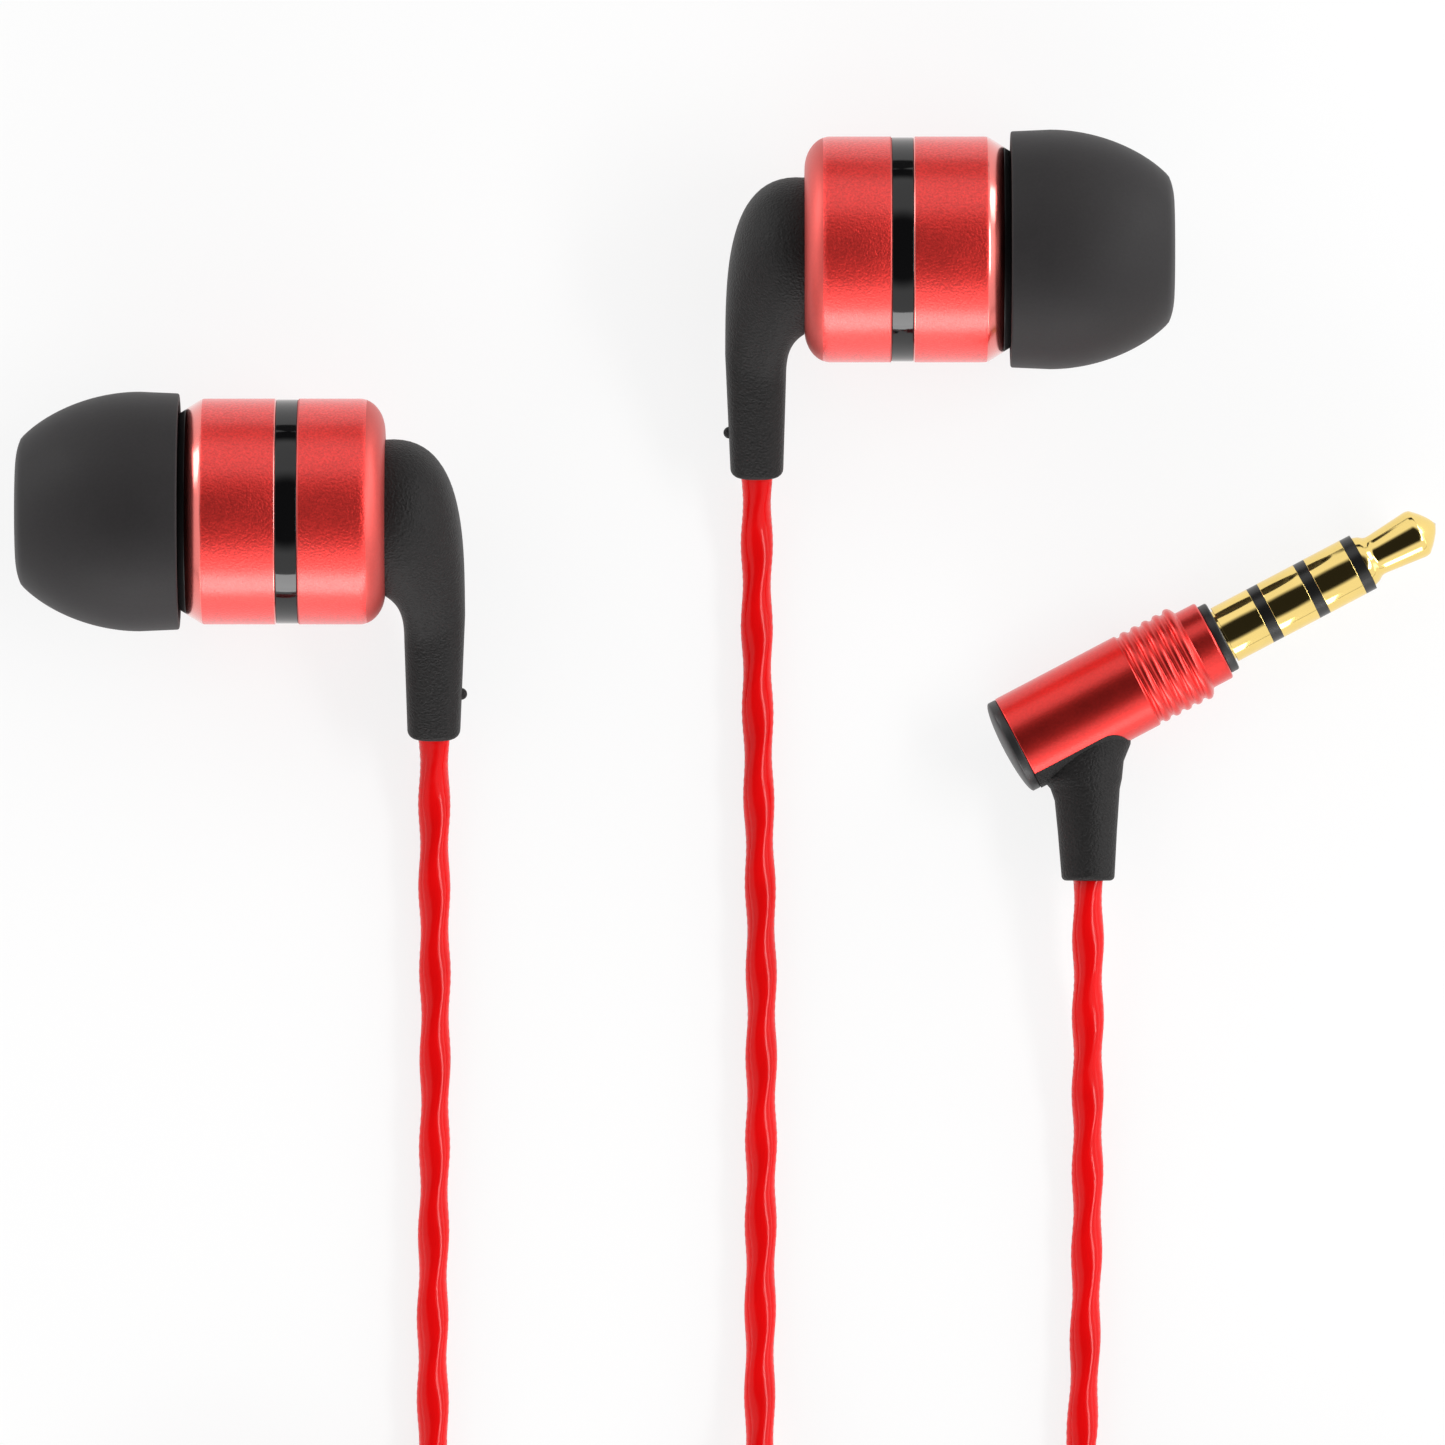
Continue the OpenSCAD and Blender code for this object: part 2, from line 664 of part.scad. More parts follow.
module driver_frame() {
    color("#26282b")
        turned([
            [frame_x, spigot_r - 0.3], [frame_x, spigot_r], [frame_end, spigot_r],
            [frame_end, frame_in_r], [frame_plate_x + 0.5, frame_in_r],
            [frame_plate_x + 0.5, yoke_r + seat_gap], [frame_plate_x, yoke_r + seat_gap],
            [frame_plate_x, frame_in_r - 0.4]
        ]);
}

module yoke() {
    color("#b8b8b4")
        turned([
            [yoke_x, 0], [yoke_x, yoke_r - 0.2], [yoke_x + 0.2, yoke_r], [yoke_x + yoke_len, yoke_r],
            [yoke_x + yoke_len, yoke_in_r], [magnet_x, yoke_in_r], [magnet_x, 0]
        ]);
}

module magnet() {
    color("#7d7f82") tube(magnet_x, plate_x, 0, magnet_d / 2);
}

module top_plate() {
    color("#b8b8b4") tube(plate_x, plate_x + plate_t, 0, plate_d / 2);
}

module voice_coil() {
    color("#b5622f") tube(voice_x, film_x, voice_r, voice_r + voice_t);
}

// Dome over the voice coil, and the half roll that carries it
module diaphragm() {
    dome = [for (i = [0:8]) [film_x + dome_h * cos(90 * i / 8), film_ring_r * sin(90 * i / 8)]];
    roll_mid = (film_ring_r + film_r) / 2;
    roll_half = (film_r - film_ring_r) / 2;
    roll_h = 0.4;
    front = [for (i = [1:8]) [film_x + roll_h * sin(180 * i / 8), roll_mid - roll_half * cos(180 * i / 8)]];
    path = concat(dome, front);
    color("#d8d0b8")
        turned(concat(
            [for (p = path) [p[0] + film_t, p[1]]],
            [for (i = [len(path) - 1:-1:0]) path[i]]
        ));
}

module terminal_board() {
    pad_y = 1.6;
    color("#2f6b3c") {
        translate([yoke_x - 0.5, -2.6, -1.5])
            cube([0.5, 5.2, 3]);
        for (y = [-pad_y, pad_y])
            translate([0, y, 0])
                turned([[yoke_x - 0.85, 0], [yoke_x - 0.7, 0.5], [yoke_x - 0.4, 0.7], [yoke_x - 0.4, 0]]);
    }
}

// ---- plug ----------------------------------------------------------------

module plug_tip() {
    step = ring_x[0] + pole_gap / 2;
    neck = pin_neck_d / 2;
    head = pin_head_d / 2;
    color("#e6c46a")
        turned([
            [contact_back[0], 0], [contact_back[0], nest_r[0]], [step, nest_r[0]], [step, pin_r - 0.2],
            [step + 0.35, pin_r - 0.31], [step + 0.67, neck], [step + 0.95, neck],
            [plug_pin_len - 1.3, head], [plug_pin_len - 1.05, head - 0.06],
            [plug_pin_len - 0.87, head - 0.3], [plug_pin_len - 0.6, head - 0.5],
            [plug_pin_len - 0.3, head - 0.84], [plug_pin_len - 0.08, 0.3], [plug_pin_len, 0]
        ]);
}

// A contact ring: a thin tube inside, and its band between two insulating rings
module pole_ring(i) {
    back = contact_back[i];
    from = ring_x[i] + pole_gap / 2;
    to = ring_x[i - 1] - pole_gap / 2;
    inner = nest_r[2 * i - 1];
    outer = nest_r[2 * i];
    color("#e6c46a")
        turned([
            [back, inner], [back, outer], [from, outer], [from, pin_r],
            [to, pin_r], [to, inner]
        ]);
}

module plug_ring_1() {
    pole_ring(1);
}

module plug_ring_2() {
    pole_ring(2);
}

module plug_sleeve() {
    to = ring_x[2] - pole_gap / 2;
    color("#e6c46a")
        turned([
            [contact_back[3], nest_r[5]], [contact_back[3], pin_base_r], [pin_groove_w, pin_base_r],
            [pin_groove_w, pin_r], [to, pin_r], [to, nest_r[5]]
        ]);
}

module plug_insulators() {
    color("#1a1817")
        for (i = [0:2]) {
            inner = nest_r[2 * i];
            outer = nest_r[2 * i + 1];
            from = ring_x[i] - pole_gap / 2;
            to = ring_x[i] + pole_gap / 2;
            turned([
                [insulator_back[i], inner], [insulator_back[i], outer], [from, outer], [from, pin_r],
                [to, pin_r], [to, inner]
            ]);
        }
}

module plug_washer() {
    washer_r = washer_d / 2;
    edge = 0.08;
    color("#161616")
        turned([
            [-washer_t, pin_base_r], [-washer_t, washer_r], [-edge, washer_r],
            [0, washer_r - edge], [0, pin_base_r]
        ]);
}

// Outline of the slot under the barrel, which the rubber fills
module slot_outline(over) {
    round_r = 1.3;
    front = barrel_x + slot_len;
    polygon(concat(
        [[barrel_x - over, -barrel_r - 1], [barrel_x - over, -slot_roof]],
        [for (i = [0:8])
            [front - round_r + round_r * sin(90 * i / 8), -slot_roof - round_r + round_r * cos(90 * i / 8)]],
        [[front, -barrel_r - 1]]
    ));
}

module slot_block(over) {
    linear_extrude(barrel_d + 2, center = true)
        slot_outline(over);
}

module plug_barrel() {
    collar_r = barrel_collar_d / 2;
    collar_back = -washer_t - barrel_collar_len;
    collar_edge = 0.12;
    hole_r = pin_base_r + seat_gap;
    hole_back = collar_back - 0.2;
    end_edge = 0.05;
    rib_count = 5;
    rib_r = barrel_r - rib_depth;
    first_rib = collar_back - 0.15;
    crest = 0.03;
    ribs = [for (i = [rib_count - 1:-1:0])
        let (x = first_rib - rib_pitch * i, top = i == 0 ? last_rib_r : barrel_r)
            each [[x - rib_pitch * 0.8, rib_r], [x - rib_pitch * 0.65, top - crest],
                [x - rib_pitch * 0.4, top], [x - rib_pitch * 0.15, top - crest], [x, rib_r]]];
    color("#e03a32")
        difference() {
            turned(concat(
                [[barrel_x, barrel_in_r], [barrel_x, barrel_r - end_edge], [barrel_x + end_edge, barrel_r],
                    [first_rib - rib_pitch * rib_count, barrel_r]],
                ribs,
                [[collar_back, collar_r], [-washer_t - collar_edge, collar_r],
                    [-washer_t, collar_r - collar_edge], [-washer_t, hole_r],
                    [hole_back, hole_r], [hole_back, barrel_in_r]]
            ));
            slot_block(1);
        }
}

module plug_end_cap() {
    cap_r = barrel_r - 0.04;
    dome = [for (i = [0:6])
        [barrel_x - cap_rim - cap_dome * sin(90 * i / 6), cap_r * cos(90 * i / 6)]];
    color("#1b1b1c")
        turned(concat(
            [[barrel_x + cap_peg_len, 0], [barrel_x + cap_peg_len, cap_peg_r], [barrel_x, cap_peg_r],
                [barrel_x, cap_r]],
            dome
        ));
}

// Rubber inside the barrel, the saddle in its slot and the leg that carries the cord
module plug_boot() {
    core_r = barrel_in_r - seat_gap;
    end_y = -plug_leg_len;
    end_w = plug_leg_end_w / 2;
    end_h = plug_leg_end_h / 2;
    top_w = plug_leg_top_w / 2;
    cut = 0.28;
    cut_low = 0.3 * cut;
    past = 1;
    // [height, centre, half width, half depth] of each section of the leg
    levels = [
        [-5.2, -7.4, 2.1, 2.0],
        [-6.3, -7.7, 2.35, 1.95],
        [-7.3, -8.05, 2.3, 1.9],
        [-8.3, -8.2, 2.35, 1.85],
        [-8.9, -8.0, 2.02, 1.8],
        [-9.6, -7.9, top_w, 1.75],
        [-11.4, plug_leg_x - 0.04, top_w - 0.15, 1.68],
        [end_y + cut, plug_leg_x, end_w, end_h],
        [end_y + cut_low, plug_leg_x, end_w - cut_low, end_h - cut_low],
        [end_y, plug_leg_x, end_w - cut, end_h - cut]
    ];
    sides = 28;
    color("#343233") {
        difference() {
            rotate([0, 0, -plug_turn])
                skin([for (s = levels)
                    [for (j = [0:sides - 1])
                        let (a = 360 * j / sides)
                            [s[1] - s[2] * cos(a), s[0], s[3] * sin(a)]]]);
            tube(barrel_x - past, 0, 0, barrel_r);
        }
        intersection() {
            tube(barrel_x, 0, 0, barrel_r + 0.02);
            slot_block(0);
        }
        difference() {
            tube(barrel_x, barrel_x + slot_len + 1, 0, core_r);
            tube(barrel_x - past, barrel_x + cap_peg_len + seat_gap, 0, cap_peg_r + seat_gap);
        }
    }
}

// ---- splitter ------------------------------------------------------------

module splitter_sleeve() {
    end = splitter_len / 2;
    edge = 0.15;
    color("#d2302a")
        translate(splitter_at)
            turned([
                [-end, splitter_r - splitter_wall], [-end, splitter_r - edge], [-end + edge, splitter_r],
                [end - edge, splitter_r], [end, splitter_r - edge], [end, splitter_r - splitter_wall]
            ]);
}

module splitter_core() {
    end = splitter_len / 2;
    core_r = splitter_r - splitter_wall;
    edge = 0.25;
    step = 0.3;
    color("#2b2a2b")
        translate(splitter_at)
            turned([
                [-splitter_x, 0], [-splitter_x, core_r - edge], [-splitter_x + edge, core_r],
                [end, core_r], [end + step, core_r - step],
                [splitter_x - 0.2, cord_r + 0.5], [splitter_x, cord_r + 0.35], [splitter_x, 0]
            ]);
}

// ---- remote --------------------------------------------------------------

// Pill with straight sides along Y, from [radius, height] pairs of half its section
module pill(length, r, section) {
    straight = length - 2 * r;
    rotate([90, 0, 0])
        linear_extrude(straight, center = true)
            polygon(concat(section, [for (i = [len(section) - 1:-1:0]) [-section[i][0], section[i][1]]]));
    for (y = [-straight / 2, straight / 2])
        translate([0, y, 0])
            rotate_extrude()
                polygon(section);
}

module plain_pill(length, r, z0, z1) {
    pill(length, r, [[0, z0], [r, z0], [r, z1], [0, z1]]);
}

module relief_holes() {
    for (side = [-1, 1])
        translate([0, 0, remote_mid_z])
            rotate([90 * side, 0, 0])
                cylinder(h = remote_len, r = relief_r);
}

module remote_back() {
    mic_hole_r = 0.4;
    post_y = [-4, 2];
    post_r = 0.8;
    color("#1f1f20")
        translate(remote_at) {
            difference() {
                pill(remote_len, remote_r, [
                    [0, 0], [remote_r - edge_w[0], 0], [remote_r - edge_w[1], edge_h[1]],
                    [remote_r, edge_h[0]], [remote_r, remote_mid_z], [0, remote_mid_z]
                ]);
                plain_pill(remote_len - 2 * remote_wall, remote_r - remote_wall, remote_wall, remote_t);
                relief_holes();
                translate([0, mic_y, -1])
                    cylinder(h = remote_t, r = mic_hole_r);
            }
            for (y = post_y)
                translate([0, y, 0])
                    cylinder(h = board_z, r = post_r);
        }
}

module remote_front() {
    roof = remote_t - front_roof;
    color("#1f1f20")
        translate(remote_at)
            difference() {
                pill(remote_len, remote_r, [
                    [0, remote_mid_z], [remote_r, remote_mid_z], [remote_r, remote_t - edge_h[0]],
                    [remote_r - edge_w[1], remote_t - edge_h[1]], [remote_r - edge_w[0], remote_t],
                    [0, remote_t]
                ]);
                plain_pill(remote_len - 2 * remote_wall, remote_r - remote_wall, 0, roof);
                plain_pill(window_len, window_r, roof - 1, remote_t + 1);
                relief_holes();
            }
}

module remote_board() {
    board_len = remote_len - 2 * remote_wall - 5.2;
    board_r = remote_r - remote_wall - 0.25;
    color("#2f6b3c")
        translate(remote_at + [0, -0.5, 0])
            plain_pill(board_len, board_r, board_z, board_z + board_t);
}

function button_y(i) = i * ((button_mid_len + button_end_len) / 2 + button_gap);

module remote_switches() {
    color("#c9c9c4")
        translate(remote_at)
            for (i = [-1:1])
                translate([0, button_y(i), board_z + board_t])
                    cylinder(h = switch_h, r1 = 1.4, r2 = 0.9);
}

module remote_microphone() {
    color("#c9c9c4")
        translate(remote_at + [0, mic_y, remote_wall])
            cylinder(h = mic_r, r = mic_r);
}

// Tapered rubber ends. Each is held by a flange inside the shells' round end
module remote_reliefs() {
    neck = relief_r - seat_gap;
    wide = neck + 0.35;
    shell_end = remote_len / 2;
    flange_x = shell_end - remote_wall - 0.65;
    color("#1f1f20")
        translate(remote_at + [0, 0, remote_mid_z])
            for (side = [-1, 1])
                rotate([0, 0, 90 * side])
                    turned([
                        [flange_x - 0.5, 0], [flange_x - 0.5, wide], [flange_x, wide],
                        [flange_x, neck], [shell_end, neck], [shell_end, wide],
                        [shell_end + 0.3, wide], [relief_y, cord_r + 0.2], [relief_y, 0]
                    ]);
}

// A button fills its part of the window, and its flange stays under the shell.
// The outer two are rounded at the remote's ends
module button(i) {
    half = i == 0 ? button_mid_len / 2 : button_end_len / 2;
    r = button_w / 2;
    cap_len = window_len - 2 * button_gap;
    color("#2c2c2e")
        translate(remote_at + [0, button_y(i), 0])
            intersection() {
                translate([0, -button_y(i), 0]) {
                    plain_pill(cap_len, r, flange_z, remote_t + button_proud);
                    plain_pill(cap_len + 2 * flange_out, r + flange_out, flange_z, flange_z + flange_t);
                }
                translate([-remote_w, i < 0 ? -half - 1 : -half, 0])
                    cube([2 * remote_w, 2 * half + (i == 0 ? 0 : 1), 2 * remote_t]);
            }
}

module volume_up_button() {
    button(1);
}

module centre_button() {
    button(0);
}

module volume_down_button() {
    button(-1);
}

// ---- cord ----------------------------------------------------------------

module left_cord() {
    cord(concat(left_route, [left_path[0]]), boot_out, wind_run(left_wind, left_wind[2]));
}

module left_coil() {
    coil(left_wind, "left coil");
}

module left_cord_lower() {
    cord(concat([left_path[len(left_path) - 1]], left_lower_route,
        [splitter_at + [-splitter_x, -pair_gap / 2, 0]]), wind_end(left_wind), [1, 0, 0]);
}

module right_cord() {
    cord(concat(right_route, [remote_at + [0, relief_y, remote_mid_z]]), boot_out, [0, -1, 0]);
}

module right_cord_middle() {
    cord(concat([remote_at + [0, -relief_y, remote_mid_z]], middle_route, [right_path[0]]),
        [0, -1, 0], wind_run(right_wind, right_wind[2]));
}

module right_coil() {
    coil(right_wind, "right coil");
}

module right_cord_lower() {
    cord(concat([right_path[len(right_path) - 1]], right_lower_route,
        [splitter_at + [-splitter_x, pair_gap / 2, 0]]), wind_end(right_wind), [1, 0, 0]);
}

module main_cord_lower() {
    cord(concat([splitter_at + [splitter_x, 0, 0]], main_lower_route, [main_path[len(main_path) - 1]]),
        [1, 0, 0], -wind_end(main_wind));
}

module main_coil() {
    coil(main_wind, "main coil");
}

module main_cord() {
    cord(concat([main_path[0]], main_route, [plug_leg_end]), -wind_run(main_wind, main_wind[2]), [0, 1, 0]);
}

// ---- what is drawn -------------------------------------------------------

on_left() ear_tip();  // left_ear_tip
on_left() nozzle();  // left_nozzle
on_left() nozzle_mesh();  // left_nozzle_mesh
on_left() front_shell();  // left_front_shell
on_left() band();  // left_band
on_left() rear_shell();  // left_rear_shell
on_left() boot();  // left_boot
on_left() driver_frame();  // left_driver_frame
on_left() yoke();  // left_yoke
on_left() magnet();  // left_magnet
on_left() top_plate();  // left_top_plate
on_left() voice_coil();  // left_voice_coil
on_left() diaphragm();  // left_diaphragm
on_left() terminal_board();  // left_terminal_board
on_right() ear_tip();  // right_ear_tip
on_right() nozzle();  // right_nozzle
on_right() nozzle_mesh();  // right_nozzle_mesh
on_right() front_shell();  // right_front_shell
on_right() band();  // right_band
on_right() rear_shell();  // right_rear_shell
on_right() boot();  // right_boot
on_right() driver_frame();  // right_driver_frame
on_right() yoke();  // right_yoke
on_right() magnet();  // right_magnet
on_right() top_plate();  // right_top_plate
on_right() voice_coil();  // right_voice_coil
on_right() diaphragm();  // right_diaphragm
on_right() terminal_board();  // right_terminal_board
on_plug() plug_tip();
on_plug() plug_ring_1();
on_plug() plug_ring_2();
on_plug() plug_sleeve();
on_plug() plug_insulators();
on_plug() plug_washer();
on_plug() plug_barrel();
on_plug() plug_end_cap();
on_plug() plug_boot();
splitter_sleeve();
splitter_core();
remote_back();
remote_front();
remote_board();
remote_switches();
remote_microphone();
remote_reliefs();
volume_up_button();
centre_button();
volume_down_button();
left_cord();
left_coil();
left_cord_lower();
right_cord();
right_cord_middle();
right_coil();
right_cord_lower();
main_cord_lower();
main_coil();
main_cord();
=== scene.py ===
"""Wired in-ear earphones: the finished look of every piece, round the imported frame."""

import json
import logging
import math
from dataclasses import dataclass, field
from enum import Enum
from typing import Callable, Iterable, Optional, Sequence

import bmesh
import bpy
from mathutils import Matrix, Vector


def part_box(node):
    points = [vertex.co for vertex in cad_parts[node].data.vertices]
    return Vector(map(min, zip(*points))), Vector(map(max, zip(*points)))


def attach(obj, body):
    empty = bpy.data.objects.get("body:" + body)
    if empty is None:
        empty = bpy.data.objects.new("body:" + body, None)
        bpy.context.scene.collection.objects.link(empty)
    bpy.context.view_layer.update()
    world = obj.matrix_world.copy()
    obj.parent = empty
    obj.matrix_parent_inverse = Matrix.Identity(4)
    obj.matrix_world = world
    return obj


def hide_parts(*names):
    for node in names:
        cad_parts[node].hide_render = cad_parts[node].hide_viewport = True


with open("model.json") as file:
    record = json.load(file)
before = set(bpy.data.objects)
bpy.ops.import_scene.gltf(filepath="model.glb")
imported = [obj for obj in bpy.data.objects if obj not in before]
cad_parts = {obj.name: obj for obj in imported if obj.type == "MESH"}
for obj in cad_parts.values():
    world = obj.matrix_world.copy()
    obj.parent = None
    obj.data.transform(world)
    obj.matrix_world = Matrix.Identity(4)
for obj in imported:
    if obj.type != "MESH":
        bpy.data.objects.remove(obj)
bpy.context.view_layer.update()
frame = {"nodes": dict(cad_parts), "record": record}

LOG = logging.getLogger("earphones")
MM = 0.001
SHARP_ANGLE = math.radians(32)
MERGE_DISTANCE = 1e-8
# How far a corner may lie from a skin that it counts as part of.
SKIN_TOLERANCE = 2e-6
# Most of a noise's values lie between these two.
MIDDLE = (0.3, 0.7)
# The period of a wave texture whose scale is 1.
WAVE_PERIOD = 0.314

Point = tuple[float, float, float]
Outline = list[tuple[float, ...]]
Route = tuple[tuple[float, ...], ...]
Section = tuple[tuple[float, ...], tuple[float, ...], float]
Sockets = tuple[bpy.types.NodeSocket, bpy.types.NodeSocket, bpy.types.NodeSocket]


class Side(Enum):
    """The ear that an earpiece is for."""

    LEFT = "left"
    RIGHT = "right"


class Cut(Enum):
    """What one solid does to another."""

    TAKE_AWAY = "DIFFERENCE"
    JOIN = "UNION"
    CROSS = "INTERSECT"


class Lay(Enum):
    """How a cord lies."""

    COILED = "coiled"
    LOOSE = "loose"


class FarEnd(Enum):
    """What a cord's far end goes into."""

    OBJECT = "object"
    PLUG = "plug"


# ---- finishes ---------------------------------------------------------------


def linear(colour: str) -> tuple[float, float, float, float]:
    """Turns an sRGB hex colour into linear light.

    Args:
        colour: six hex digits after a hash sign.

    Returns:
        Red, green, blue and a full alpha.
    """
    parts = [int(colour[i : i + 2], 16) / 255 for i in (1, 3, 5)]
    light = [p / 12.92 if p <= 0.04045 else ((p + 0.055) / 1.055) ** 2.4 for p in parts]
    return (light[0], light[1], light[2], 1.0)


def add_node(
    tree: bpy.types.NodeTree, kind: str, inputs: Optional[dict[object, object]] = None,
    **settings: object,
) -> bpy.types.Node:
    """Adds one node with its settings, values and links.

    Args:
        tree: the tree that takes the node.
        kind: the node's type name.
        inputs: for an input's name or number, its value or the socket that feeds it.
        settings: the node's own properties.

    Returns:
        The new node.
    """
    node = tree.nodes.new(kind)
    for name, value in settings.items():
        setattr(node, name, value)
    for name, value in (inputs or {}).items():
        if isinstance(value, bpy.types.NodeSocket):
            tree.links.new(value, node.inputs[name])
        else:
            node.inputs[name].default_value = value
    return node


@dataclass(frozen=True)
class Step:
    """A change of level while a value goes from one number to another."""

    start: float
    end: float
    before: float
    after: float

    def inputs(self, value: bpy.types.NodeSocket) -> dict[object, object]:
        """Returns what a Map Range node takes to make this change of a value."""
        return {
            "Value": value, "From Min": self.start, "From Max": self.end,
            "To Min": self.before, "To Max": self.after,
        }


@dataclass(frozen=True)
class Finish:
    """One surface: what it is made of, its colour and how it was worked.

    Sizes of the grain, its relief and the drift are in millimetres. The drift is the
    share by which the colour and the roughness wander over a few millimetres, and the
    speckle the share by which the grain lightens and darkens the colour.
    """

    name: str
    colour: str
    roughness: float
    metallic: float = 0.0
    ior: float = 1.5
    specular: float = 0.5
    coat: float = 0.0
    coat_roughness: float = 0.1
    coat_ior: float = 1.5
    sheen: float = 0.0
    grain: float = 0.1
    relief: float = 0.0
    speckle: float = 0.0
    drift: float = 0.05
    drift_size: float = 3.0

    def material(self) -> bpy.types.Material:
        """Builds the material at its first use and finds the same one later.

        Returns:
            The material, which reads each piece's own coordinates.
        """
        made = bpy.data.materials.get(self.name)
        if made is not None:
            return made
        made = bpy.data.materials.new(self.name)
        made.use_nodes = True
        tree = made.node_tree
        tree.nodes.clear()
        place = add_node(tree, "ShaderNodeTexCoord").outputs["Object"]
        colour, roughness, height = self.surface(tree, place)
        bump = add_node(
            tree, "ShaderNodeBump",
            {"Height": height, "Distance": self.relief * MM, "Strength": 1.0},
        )
        shader = add_node(
            tree, "ShaderNodeBsdfPrincipled",
            {
                "Base Color": colour, "Roughness": roughness, "Metallic": self.metallic,
                "IOR": self.ior, "Specular IOR Level": self.specular,
                "Coat Weight": self.coat, "Coat Roughness": self.coat_roughness,
                "Coat IOR": self.coat_ior, "Sheen Weight": self.sheen,
                "Normal": bump.outputs["Normal"],
            },
        )
        add_node(tree, "ShaderNodeOutputMaterial", {"Surface": shader.outputs["BSDF"]})
        made.diffuse_color = linear(self.colour)
        return made

    def surface(self, tree: bpy.types.NodeTree, place: bpy.types.NodeSocket) -> Sockets:
        """Makes an even colour that drifts slowly, with a fine grain over it.

        Args:
            tree: the material's tree.
            place: the piece's own coordinates, in metres.

        Returns:
            The sockets of the colour, the roughness and the height.
        """
        noises = [
            add_node(
                tree, "ShaderNodeTexNoise",
                {"Vector": place, "Scale": 1 / (size * MM), "Detail": detail, "Roughness": 0.6},
            ).outputs["Fac"]
            for size, detail in ((self.drift_size, 2.0), (self.grain, 1.0))
        ]
        shade, glint = (
            add_node(
                tree, "ShaderNodeMapRange", Step(*MIDDLE, 1 - share, 1 + share).inputs(noise)
            ).outputs["Result"]
            for noise, share in zip(noises, (self.drift, self.speckle))
        )
        both = add_node(tree, "ShaderNodeMath", {0: shade, 1: glint}, operation="MULTIPLY")
        colour = add_node(
            tree, "ShaderNodeVectorMath",
            {0: linear(self.colour)[:3], "Scale": both.outputs[0]}, operation="SCALE",
        )
        roughness = add_node(
            tree, "ShaderNodeMath", {0: shade, 1: self.roughness}, operation="MULTIPLY"
        )
        return colour.outputs[0], roughness.outputs[0], noises[1]


@dataclass(frozen=True)
class Wires(Finish):
    """Round wires side by side, with painted shade and a duller surface between them, across one
    axis or two.

    The pitch is in millimetres. The gap is the share of the colour that is left between
    the wires as painted shade, and the gap's roughness is what the roughness rises to there.
    """

    across: str = "X"
    pitch: float = 0.06
    gap: float = 0.45
    gap_roughness: float = 0.5

    def surface(self, tree: bpy.types.NodeTree, place: bpy.types.NodeSocket) -> Sockets:
        """Makes the wires from one wave for each axis that they lie across.

        Args:
            tree: the material's tree.
            place: the piece's own coordinates, in metres.

        Returns:
            The sockets of the colour, the roughness and the height.
        """
        wires, *others = (
            add_node(
                tree, "ShaderNodeTexWave",
                {"Vector": place, "Scale": WAVE_PERIOD / (self.pitch * MM)},
                bands_direction=axis, wave_profile="SIN",
            ).outputs["Fac"]
            for axis in self.across
        )
        for wave in others:
            wires = add_node(
                tree, "ShaderNodeMath", {0: wires, 1: wave}, operation="MAXIMUM"
            ).outputs[0]
        # Painted shade: the colour falls to the gap share between the wires.
        shade_between_wires, rough = (
            add_node(
                tree, "ShaderNodeMapRange", Step(*MIDDLE, low, high).inputs(wires)
            ).outputs["Result"]
            for low, high in ((self.gap, 1.0), (self.gap_roughness, self.roughness))
        )
        colour = add_node(
            tree, "ShaderNodeVectorMath",
            {0: linear(self.colour)[:3], "Scale": shade_between_wires}, operation="SCALE",
        )
        return colour.outputs[0], rough, wires


# Aluminium blasted with fine beads, then dyed red under a clear oxide layer. The pits
# scatter the light into a soft streak with sparks at its edges, and the oxide adds a white
# sheen. Real pits are 0.05 mm across, drawn at 0.13 mm so that they show.
BLASTED_RED = Finish(
    "Anodised aluminium, bead-blasted", "#F03D38", 0.46, metallic=1.0, coat=1.0,
    coat_roughness=0.27, grain=0.13, relief=0.03, speckle=0.16, drift=0.03,
)
# The same alloy where a cut edge was blasted over lightly: even and pale, with no sparks.
SOFT_RED = Finish(
    "Anodised aluminium, lightly blasted", "#CC4E48", 0.55, metallic=1.0, coat=0.6,
    coat_roughness=0.45, grain=0.2, relief=0.004, speckle=0.03, drift=0.02,
)
# The same alloy cut with a diamond tool after the blasting, so the edge shines and takes
# less dye: a paler red with near-white lights.
CUT_RED = Finish(
    "Anodised aluminium, diamond-cut", "#F0726A", 0.22, metallic=1.0, coat=1.0,
    coat_roughness=0.14, coat_ior=1.6, grain=0.3, relief=0.0015, drift=0.02,
)
# Turned bar for the plug's barrel: satin, with soft streaks of light along it.
SATIN_RED = Finish(
    "Anodised aluminium, satin turned", "#E2342F", 0.36, metallic=1.0, coat=0.6,
    coat_roughness=0.24, grain=0.16, relief=0.006, speckle=0.06, drift=0.03,
)
# Polished black ABS. It mirrors the studio in a black ground.
GLOSS_BLACK = Finish(
    "ABS, polished black", "#0B0B0C", 0.06, ior=1.5, grain=0.6, relief=0.0006, drift=0.04,
)
# Moulded silicone rubber. Matt, with a slight bloom that lightens its edges.
TIP_SILICONE = Finish(
    "Silicone rubber, matt", "#262425", 0.6, ior=1.41, specular=0.3, sheen=0.04,
    grain=0.16, relief=0.004, speckle=0.05, drift=0.05,
)
# Thermoplastic elastomer from a spark-eroded mould, with a fine even grain that catches
# the light as pale dots. Real grain is 0.06 mm, drawn at 0.14 mm so that it shows.
BOOT_RUBBER = Finish(
    "Elastomer, spark-eroded grain", "#191818", 0.55, ior=1.48, specular=0.22, sheen=0.03,
    grain=0.14, relief=0.07, speckle=0.3, drift=0.05,
)
# Hard black plastic from a spark-eroded mould: dark and matt, with wide weak lights.
MATT_BLACK = Finish(
    "ABS, fine matt grain", "#1A1A1B", 0.62, ior=1.52, specular=0.3, grain=0.16,
    relief=0.008, drift=0.05,
)
